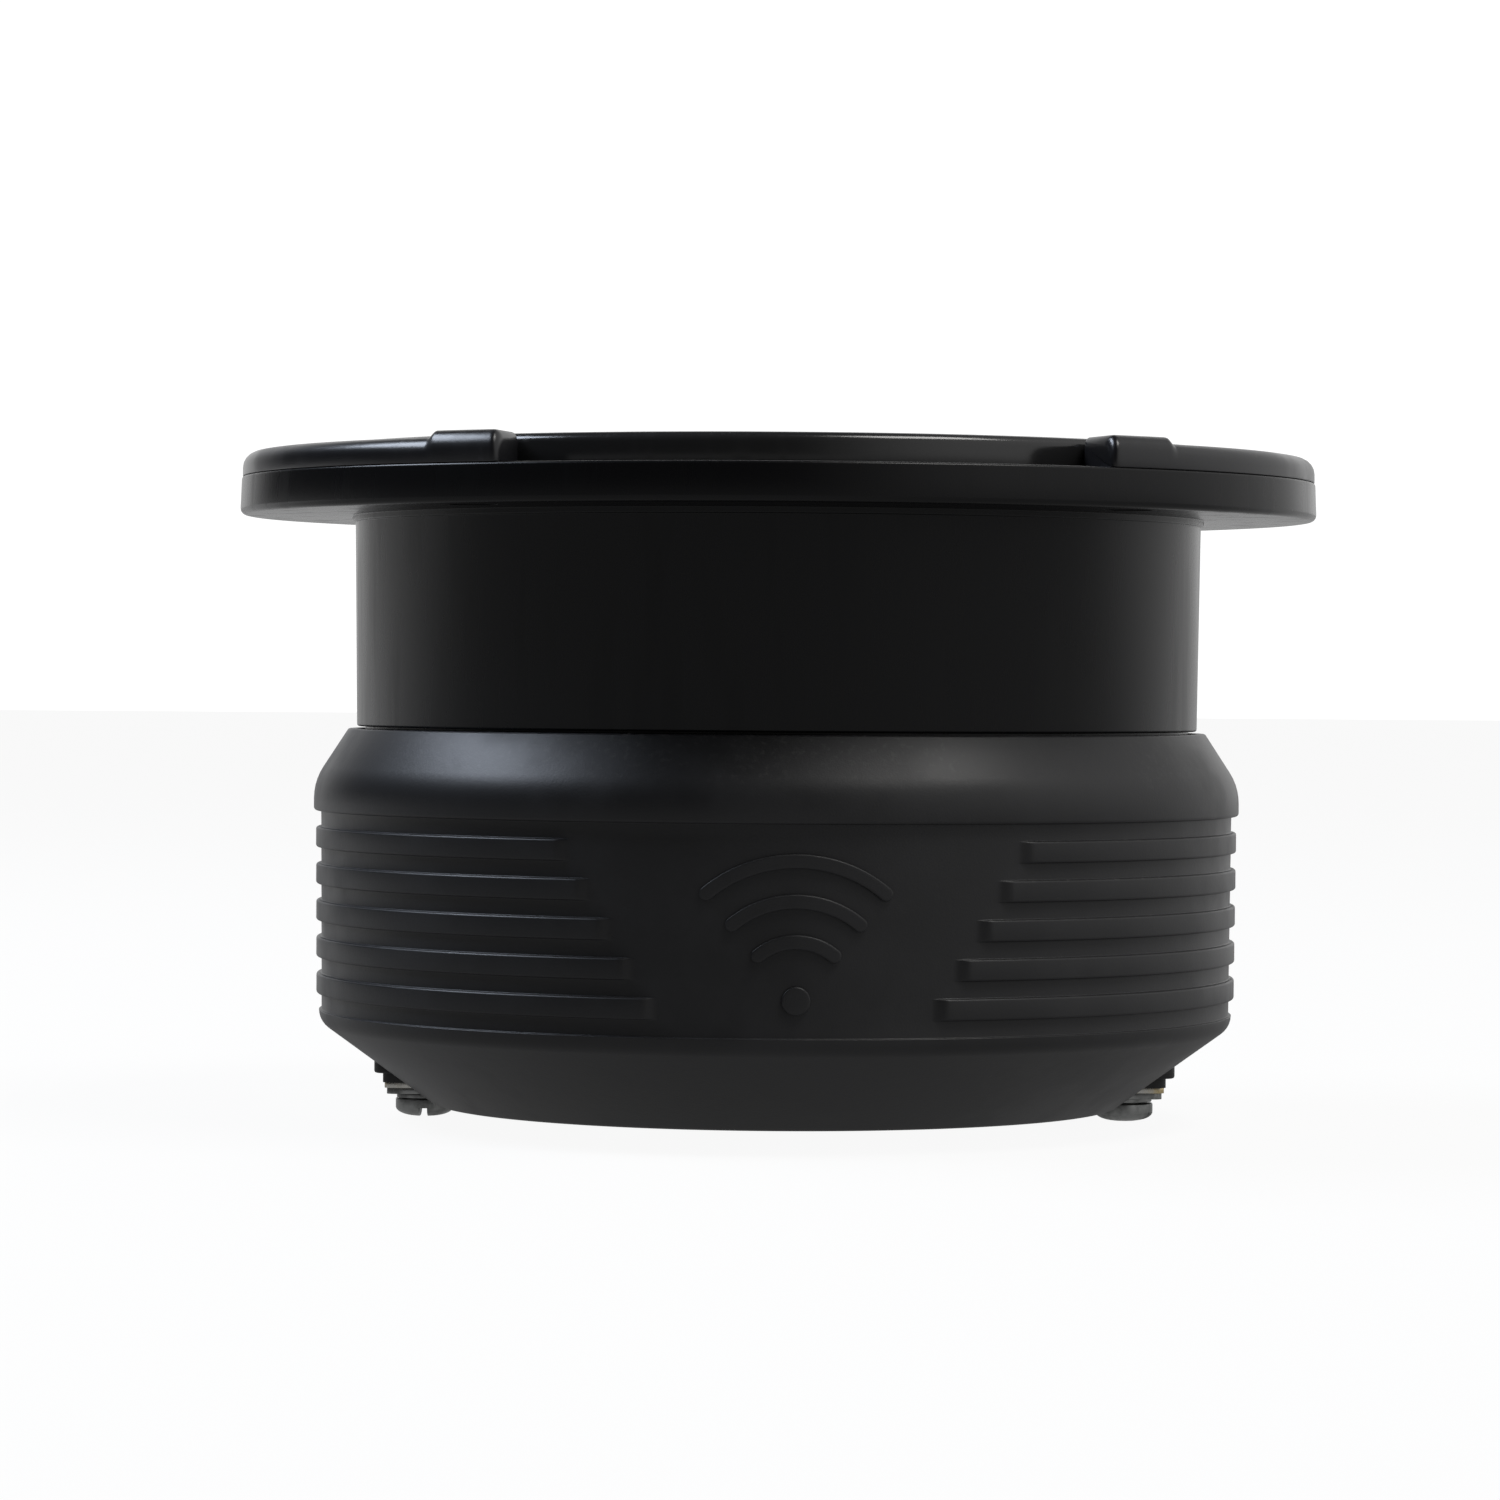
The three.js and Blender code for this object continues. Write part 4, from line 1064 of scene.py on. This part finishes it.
def mounting_holes(horn, flange_rear, front):
    """A hole with a sink for a screw head under each raised pad."""
    trim = bpy.context.scene.tweeter_trim
    radius = (reach("mouth_ring") + trim.clearance + reach("screw_cover_right")) / 2
    offset = wall_angle(trim, radius, trim.pad_width / 2)
    cutters = []
    for centre in (trim.turn, trim.turn + math.pi):
        for turn in (centre - offset, centre + offset):
            spot = polar(radius, turn, 0).xy
            hole = circle(horn.hole_radius, HOLE_COLUMNS, spot)
            sink = circle(horn.sink_radius, HOLE_COLUMNS, spot)
            cutters.append(prism("hole", hole, flange_rear - CUT_MARGIN, front + CUT_MARGIN))
            cutters.append(prism("sink", sink, front - horn.sink_depth, front + 2 * CUT_MARGIN))
    return cutters


# ---- Trim ----
def build_mouth_ring(trim):
    rear, front, radius = bottom("mouth_ring"), top("mouth_ring"), reach("mouth_ring")
    inner = radius - trim.ring_width
    surface = lathe("mouth_ring_surface", [
        (inner, rear),
        (radius, rear, CRISP_EDGE),
        (radius, front, trim.ring_round),
        (inner + trim.ring_flare, front, trim.ring_lip),
    ], closed=True)
    finish(surface, gloss_plastic(trim.ring_tint), ROOT, "gloss_trim", "mouth_ring")


def cover_section(trim, inset):
    """A cover's section, as points of (radius, z), drawn in by an inset at its ends."""
    rear = top("horn_body")
    inner = reach("mouth_ring") + trim.clearance + inset
    outer = reach("screw_cover_right") - inset
    front = top("screw_cover_right") - trim.pad_height - inset
    return outline([
        (inner, rear),
        (outer, rear, CRISP_EDGE),
        (outer, front, trim.cover_round),
        (inner, front, trim.cover_edge),
    ])


def cover_stations(trim):
    """Where a cover's sections lie: distance from the end wall, share of the way round, and inset."""
    bends = [math.pi / 2 * i / END_STEPS for i in range(END_STEPS + 1)]
    ends = [(trim.end_round * (1 - math.cos(bend)), trim.end_round * (1 - math.sin(bend))) for bend in bends]
    last = trim.pad_width + 2 * trim.pad_ramp
    span = last - trim.end_round
    ends += [(trim.end_round + span * i / PAD_STEPS, 0.0) for i in range(1, PAD_STEPS + 1)]
    first_half = [(offset, 0.0, inset) for offset, inset in ends]
    middle = [(last, i / COVER_STEPS, 0.0) for i in range(1, COVER_STEPS)]
    second_half = [(offset, 1.0, inset) for offset, inset in reversed(ends)]
    return first_half + middle + second_half


def pad_rise(trim, offset):
    """How much a cover is raised at a distance from its end wall."""
    share = min(1.0, max(0.0, (trim.pad_width + trim.pad_ramp / 2 - offset) / trim.pad_ramp))
    return trim.pad_height * share * share * (3 - 2 * share)


def build_cover(trim, side, turn):
    rear = top("horn_body")
    low = top("screw_cover_right") - trim.pad_height - rear
    stations = cover_stations(trim)
    vertices = []
    for offset, share, inset in stations:
        section = cover_section(trim, inset)
        for radius, z in section:
            start = wall_angle(trim, radius, offset)
            spot = start + (math.pi - 2 * start) * share
            lift = pad_rise(trim, offset) * (z - rear) / low
            vertices.append(polar(radius, trim.turn + turn + spot, z + lift))
    faces = tube_faces(len(stations), len(section)) + end_faces(len(vertices), len(section))
    surface = mesh_object(f"screw_cover_{side}_surface", vertices, faces)
    material = bpy.data.materials.get("Cover Moulding") or cover_plastic(trim.cover_tint)
    finish(surface, material, ROOT, "cover", f"screw_cover_{side}")


# ---- Bullet and diaphragm ----
def build_bullet(bullet):
    rear, tip, girth = bottom("bullet_plug"), top("bullet_plug"), reach("bullet_plug")
    corners = [(0, rear), (girth - bullet.edge, rear)]
    for i in range(BULLET_STEPS):
        along = 1 - (1 - (i + BULLET_START) / BULLET_STEPS) ** BULLET_CROWDING
        radius = girth * (1 - along ** bullet.girth_power) ** bullet.fullness
        corners.append((radius, rear + (tip - rear) * along))
    surface = lathe("bullet_surface", [*corners, (0, tip)])
    finish(surface, spun_aluminium(bullet.tint), ROOT, "bullet", "bullet_plug")


def build_diaphragm(motor):
    rear, front, outer = bottom("ring_diaphragm"), top("ring_diaphragm"), reach("ring_diaphragm")
    wall, edge, bend = motor.film_wall, motor.film_edge, motor.crest_round
    crest = reach("coil_former") - motor.former_wall / 2
    inner = 2 * crest - outer
    surface = lathe("ring_diaphragm_surface", [
        (inner, rear, edge),
        (crest, front - wall, bend),
        (outer, rear, edge),
        (outer, rear + wall, edge),
        (crest, front, bend),
        (inner, rear + wall, edge),
    ], closed=True)
    finish(surface, woven_phenolic(motor.phenolic), "diaphragm", "phenolic", "ring_diaphragm")


# ---- Terminals ----
def holed_plate(name, node, terminal, corner):
    """A flat plate with rounded edges and a hole for the screw, in the place of a CAD plate."""
    low, high = box(node)
    centre = middle_x("terminal_nut_right")
    points = rounded_rectangle(high[0] - low[0], high[1] - low[1], corner, (low[0] + high[0]) / 2)
    plate = prism(name, points, low[2], high[2])
    rim = circle(terminal.hole_radius, TERMINAL_COLUMNS, (centre, 0.0))
    hole = prism("hole", rim, low[2] - CUT_MARGIN, high[2] + CUT_MARGIN)
    boolean(plate, [hole], "DIFFERENCE")
    soften(plate, terminal.edge)
    return plate


def screw_surface(terminal, name, slot_turn):
    """A slotted pan-head screw on the right-hand terminal's axis, its domed face to the rear."""
    face, tip = bottom("terminal_screw_right"), top("terminal_screw_right")
    seat = bottom("lock_washer_right") - terminal.seat_gap
    head, shank = terminal.head_radius, terminal.shank_radius
    corners = [(0, face)]
    for i in range(1, DOME_STEPS + 1):
        bend = math.pi / 2 * i / DOME_STEPS
        rise = terminal.head_dome * (1 - math.cos(bend))
        corners.append((head * math.sin(bend) ** terminal.dome_power, face + rise))
    corners += [(head, seat, CRISP_EDGE), (shank, seat)]
    z = seat + terminal.thread_start
    while z + terminal.pitch < tip - terminal.tip_chamfer:
        corners += [(shank, z), (shank - terminal.thread_depth, z + terminal.pitch / 2)]
        z += terminal.pitch
    corners += [(shank, z), (shank - terminal.tip_chamfer, tip), (0, tip)]
    screw = lathe(name, corners, angles=around(TERMINAL_COLUMNS))
    across = rounded_rectangle(terminal.slot_width, 4 * head, CRISP_EDGE)
    slot = turned(prism("slot", across, face - CUT_MARGIN, face + terminal.slot_depth), slot_turn)
    boolean(screw, [slot], "DIFFERENCE")
    soften(screw, terminal.fine_edge)
    screw.data.transform(Matrix.Translation((middle_x("terminal_nut_right"), 0, 0)))
    return screw


def washer_surface(terminal, name):
    """A split lock washer whose ends stand a little apart."""
    low, high = box("lock_washer_right")
    inner, outer = terminal.hole_radius, (high[1] - low[1]) / 2
    opening, spring, edge = terminal.washer_opening, terminal.washer_spring, terminal.fine_edge
    vertices = []
    for i in range(WASHER_STEPS + 1):
        along = i / WASHER_STEPS
        turn = math.pi / 2 + opening / 2 + (FULL_TURN - opening) * along
        rear = low[2] + spring * along
        front = high[2] + spring * (along - 1)
        corners = [(inner, rear), (outer, rear), (outer, front), (inner, front)]
        section = outline([(radius, z, edge) for radius, z in corners])
        vertices += [polar(radius, turn, z) for radius, z in section]
    faces = tube_faces(WASHER_STEPS + 1, len(section)) + end_faces(len(vertices), len(section))
    washer = mesh_object(name, vertices, faces)
    washer.data.transform(Matrix.Translation((middle_x("terminal_nut_right"), 0, 0)))
    return washer


def build_terminal(terminal, side, turn, steel, brass, nylon):
    block = holed_plate(f"terminal_block_{side}_surface", "terminal_block_right", terminal,
                         terminal.block_corner)
    tab = holed_plate(f"terminal_tab_{side}_surface", "terminal_tab_right", terminal, terminal.tab_corner)
    clamp = holed_plate(f"clamp_plate_{side}_surface", "clamp_plate_right", terminal, terminal.clamp_corner)
    washer = washer_surface(terminal, f"lock_washer_{side}_surface")
    slot_turn = terminal.turn_left if side == "left" else terminal.turn_right
    screw = screw_surface(terminal, f"terminal_screw_{side}_surface", slot_turn)
    for piece in (block, tab, clamp, washer, screw):
        turned(piece, turn)
    finish(block, nylon, ROOT, "nylon", f"terminal_block_{side}")
    finish(tab, brass, ROOT, "brass", f"terminal_tab_{side}")
    finish(clamp, steel, f"clamp_{side}", "plated_steel", f"clamp_plate_{side}")
    finish(washer, steel, f"clamp_{side}", "plated_steel", f"lock_washer_{side}")
    finish(screw, steel, f"screw_{side}", "plated_steel", f"terminal_screw_{side}")


def build_terminals(terminal):
    brass = tinned_brass(terminal.brass)
    nylon = nylon_block(terminal.nylon)
    centre = middle_x("terminal_nut_right")
    for side, turn in SIDES.items():
        steel = zinc_steel(f"Zinc Steel {side.title()}", terminal.steel, centre * math.cos(turn))
        build_terminal(terminal, side, turn, steel, brass, nylon)


# ---- Motor ----
def dress_motor(motor):
    """Gives the CAD pieces inside the boot and the horn their finishes."""
    steel = zinc_steel("Motor Steel", motor.steel)
    magnet = ferrite(motor.ferrite)
    copper = enamelled_copper(motor.copper)
    felt = pressed_felt(motor.felt)
    phenolic = bpy.data.materials["Phenolic Cloth"]
    dressed = {
        steel: ["top_plate", "back_plate", "pole_piece", "bullet_stud", "stud_nut",
                *(f"horn_screw_{i}" for i in range(1, 5))],
        magnet: ["magnet_ring_1", "magnet_ring_2"],
        copper: ["shorting_ring", "voice_coil", "lead_wire_left", "lead_wire_right"],
        felt: ["damping_felt"],
        phenolic: ["coil_former", "outer_suspension", "inner_suspension"],
        bpy.data.materials["Nylon"]: ["diaphragm_carrier"],
        bpy.data.materials["Spun Aluminium"]: ["inner_clamp_ring"],
        bpy.data.materials["Tinned Brass"]: ["terminal_nut_left", "terminal_nut_right"],
    }
    for material, nodes in dressed.items():
        for node in nodes:
            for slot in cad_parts[node].material_slots:
                slot.material = material


# ---- Stage ----
def build_floor(stage):
    """A white floor that hardly takes a shadow, lights the tweeter from behind and is clear from below."""
    half = stage.floor_size / 2
    corners = [(-half, -half, 0), (half, -half, 0), (half, half, 0), (-half, half, 0)]
    floor = mesh_object("floor", corners, [[0, 1, 2, 3]])
    material = bpy.data.materials.new("Pale Floor")
    material.use_nodes = True
    tree = material.node_tree
    tree.nodes.clear()
    diffuse = tree.nodes.new("ShaderNodeBsdfDiffuse")
    diffuse.inputs["Color"].default_value = (*stage.floor_tint, 1.0)
    seen = tree.nodes.new("ShaderNodeLightPath").outputs["Is Camera Ray"]
    split = tree.nodes.new("ShaderNodeSeparateXYZ")
    tree.links.new(place(tree), split.inputs[0])
    lit = remap(tree, split.outputs["Y"], GLOW_START, GLOW_END, stage.floor_front, stage.floor_back)
    glow = tree.nodes.new("ShaderNodeEmission")
    tree.links.new(add_math(tree, "MAXIMUM", lit, seen), glow.inputs["Strength"])
    upper = tree.nodes.new("ShaderNodeMixShader")
    upper.inputs[0].default_value = FLOOR_GLOW_SHARE
    tree.links.new(diffuse.outputs[0], upper.inputs[1])
    tree.links.new(glow.outputs[0], upper.inputs[2])
    whole = tree.nodes.new("ShaderNodeMixShader")
    tree.links.new(tree.nodes.new("ShaderNodeNewGeometry").outputs["Backfacing"], whole.inputs[0])
    tree.links.new(upper.outputs[0], whole.inputs[1])
    tree.links.new(tree.nodes.new("ShaderNodeBsdfTransparent").outputs[0], whole.inputs[2])
    out = tree.nodes.new("ShaderNodeOutputMaterial")
    tree.links.new(whole.outputs[0], out.inputs["Surface"])
    floor.data.materials.append(material)


def build_world():
    """White where the camera looks; round the tweeter, a bright wall behind, a dim room on the right."""
    world = bpy.data.worlds.new("Studio")
    bpy.context.scene.world = world
    world.use_nodes = True
    tree = world.node_tree
    tree.nodes.clear()
    split = tree.nodes.new("ShaderNodeSeparateXYZ")
    tree.links.new(tree.nodes.new("ShaderNodeTexCoord").outputs["Generated"], split.inputs[0])
    backwards = add_math(tree, "MULTIPLY_ADD", split.outputs["X"], 0.1, split.outputs["Y"])
    behind = remap(tree, backwards, 0.62, 0.95, to_low=0.0, to_high=1.1)
    right = remap(tree, split.outputs["X"], 0.0, 0.8, to_low=0.014, to_high=0.7)
    room = add_math(tree, "MAXIMUM", behind, right)
    seen = tree.nodes.new("ShaderNodeLightPath").outputs["Is Camera Ray"]
    light = add_math(tree, "MAXIMUM", room, seen)
    background = tree.nodes.new("ShaderNodeBackground")
    background.inputs["Color"].default_value = (1.0, 1.0, 1.0, 1.0)
    tree.links.new(light, background.inputs["Strength"])
    out = tree.nodes.new("ShaderNodeOutputWorld")
    tree.links.new(background.outputs[0], out.inputs["Surface"])


def soft_box(name, direction, size, power, tint):
    """A rectangular lamp in a direction from the tweeter, facing it."""
    target = Vector((0, 0, (CAD_BOX[0][2] + CAD_BOX[1][2]) / 2))
    lamp = bpy.data.lights.new(name, "AREA")
    lamp.shape = "RECTANGLE"
    lamp.size, lamp.size_y = size
    lamp.energy = power
    lamp.color = tint
    obj = bpy.data.objects.new(name, lamp)
    obj.location = target + Vector(direction).normalized() * LAMP_DISTANCE
    obj.rotation_euler = (obj.location - target).to_track_quat("Z", "Y").to_euler()
    bpy.context.scene.collection.objects.link(obj)


def build_camera(stage):
    camera = bpy.data.cameras.new("camera")
    camera.sensor_width = SENSOR_WIDTH
    camera.lens = stage.lens
    camera.clip_start = 0.01
    camera.dof.use_dof = False
    obj = bpy.data.objects.new("camera", camera)
    look = Matrix.Rotation(stage.pan, 4, "Z") @ Matrix.Rotation(math.pi / 2 - stage.tilt, 4, "X")
    obj.matrix_world = (Matrix.Translation((0, -stage.distance, stage.height)) @ look
                        @ Matrix.Rotation(stage.roll, 4, "Z"))
    bpy.context.scene.collection.objects.link(obj)
    bpy.context.scene.camera = obj


def build_stage(stage):
    build_camera(stage)
    build_floor(stage)
    build_world()
    soft_box("left_box", direction=(-0.68, 0.13, 0.71), size=(0.55, 0.28), power=stage.left_power,
             tint=(0.78, 0.86, 1.0))
    soft_box("top_box", direction=(0.39, -0.29, 0.87), size=(0.4, 0.3), power=stage.top_power,
             tint=(1.0, 0.99, 0.97))
    bpy.context.scene.view_settings.view_transform = "Standard"


# ---- Operators ----
class TWEETER_OT_boot(bpy.types.Operator):
    """Builds the ribbed rubber boot over the magnet, with a window at each terminal"""
    bl_idname = "tweeter.boot"
    bl_label = "Magnet Boot"

    def execute(self, context):
        build_boot(context.scene.tweeter_boot)
        return {"FINISHED"}


class TWEETER_OT_emblem(bpy.types.Operator):
    """Raises a plain sound-wave emblem in the blank zone of the boot's ribs"""
    bl_idname = "tweeter.emblem"
    bl_label = "Boot Emblem"

    def execute(self, context):
        build_emblem(context.scene.tweeter_emblem, context.scene.tweeter_boot)
        return {"FINISHED"}


class TWEETER_OT_horn(bpy.types.Operator):
    """Builds the horn moulding: flange, barrel and flare"""
    bl_idname = "tweeter.horn"
    bl_label = "Horn"

    def execute(self, context):
        build_horn(context.scene.tweeter_horn)
        return {"FINISHED"}


class TWEETER_OT_trim(bpy.types.Operator):
    """Builds the polished mouth ring and the two screw covers"""
    bl_idname = "tweeter.trim"
    bl_label = "Mouth Ring and Covers"

    def execute(self, context):
        trim = context.scene.tweeter_trim
        build_mouth_ring(trim)
        for side, turn in SIDES.items():
            build_cover(trim, side, turn)
        return {"FINISHED"}


class TWEETER_OT_bullet(bpy.types.Operator):
    """Builds the bullet-shaped phase plug"""
    bl_idname = "tweeter.bullet"
    bl_label = "Bullet"

    def execute(self, context):
        build_bullet(context.scene.tweeter_bullet)
        return {"FINISHED"}


class TWEETER_OT_terminals(bpy.types.Operator):
    """Builds the screws, washers, clamp plates, tabs and blocks of both terminals"""
    bl_idname = "tweeter.terminals"
    bl_label = "Terminals"

    def execute(self, context):
        build_terminals(context.scene.tweeter_terminal)
        return {"FINISHED"}


class TWEETER_OT_motor(bpy.types.Operator):
    """Builds the ring diaphragm and gives the pieces of the motor their finishes"""
    bl_idname = "tweeter.motor"
    bl_label = "Motor"

    def execute(self, context):
        build_diaphragm(context.scene.tweeter_motor)
        dress_motor(context.scene.tweeter_motor)
        return {"FINISHED"}


class TWEETER_OT_stage(bpy.types.Operator):
    """Sets up the camera, the floor, the room and the soft boxes"""
    bl_idname = "tweeter.stage"
    bl_label = "Stage"

    def execute(self, context):
        build_stage(context.scene.tweeter_stage)
        return {"FINISHED"}


OPERATORS = (TWEETER_OT_stage, TWEETER_OT_boot, TWEETER_OT_emblem, TWEETER_OT_horn, TWEETER_OT_trim,
             TWEETER_OT_bullet, TWEETER_OT_terminals, TWEETER_OT_motor)
SETTINGS = {
    "tweeter_boot": BootSettings,
    "tweeter_emblem": EmblemSettings,
    "tweeter_horn": HornSettings,
    "tweeter_trim": TrimSettings,
    "tweeter_bullet": BulletSettings,
    "tweeter_terminal": TerminalSettings,
    "tweeter_motor": MotorSettings,
    "tweeter_stage": StageSettings,
}


class TWEETER_PT_panel(bpy.types.Panel):
    """Lists the pieces of the tweeter in the 3D view's sidebar"""
    bl_label = "Bullet Super Tweeter"
    bl_idname = "TWEETER_PT_panel"
    bl_space_type = "VIEW_3D"
    bl_region_type = "UI"
    bl_category = "Tweeter"

    def draw(self, context):
        for operator in OPERATORS:
            self.layout.operator(operator.bl_idname)


def register():
    for settings in SETTINGS.values():
        bpy.utils.register_class(settings)
    for operator in OPERATORS:
        bpy.utils.register_class(operator)
    bpy.utils.register_class(TWEETER_PT_panel)
    for name, settings in SETTINGS.items():
        setattr(bpy.types.Scene, name, bpy.props.PointerProperty(type=settings))


def unregister():
    for name in SETTINGS:
        delattr(bpy.types.Scene, name)
    bpy.utils.unregister_class(TWEETER_PT_panel)
    for operator in OPERATORS:
        bpy.utils.unregister_class(operator)
    for settings in SETTINGS.values():
        bpy.utils.unregister_class(settings)


def main():
    register()
    for operator in OPERATORS:
        group, name = operator.bl_idname.split(".")
        getattr(getattr(bpy.ops, group), name)()


if __name__ == "__main__":
    main()
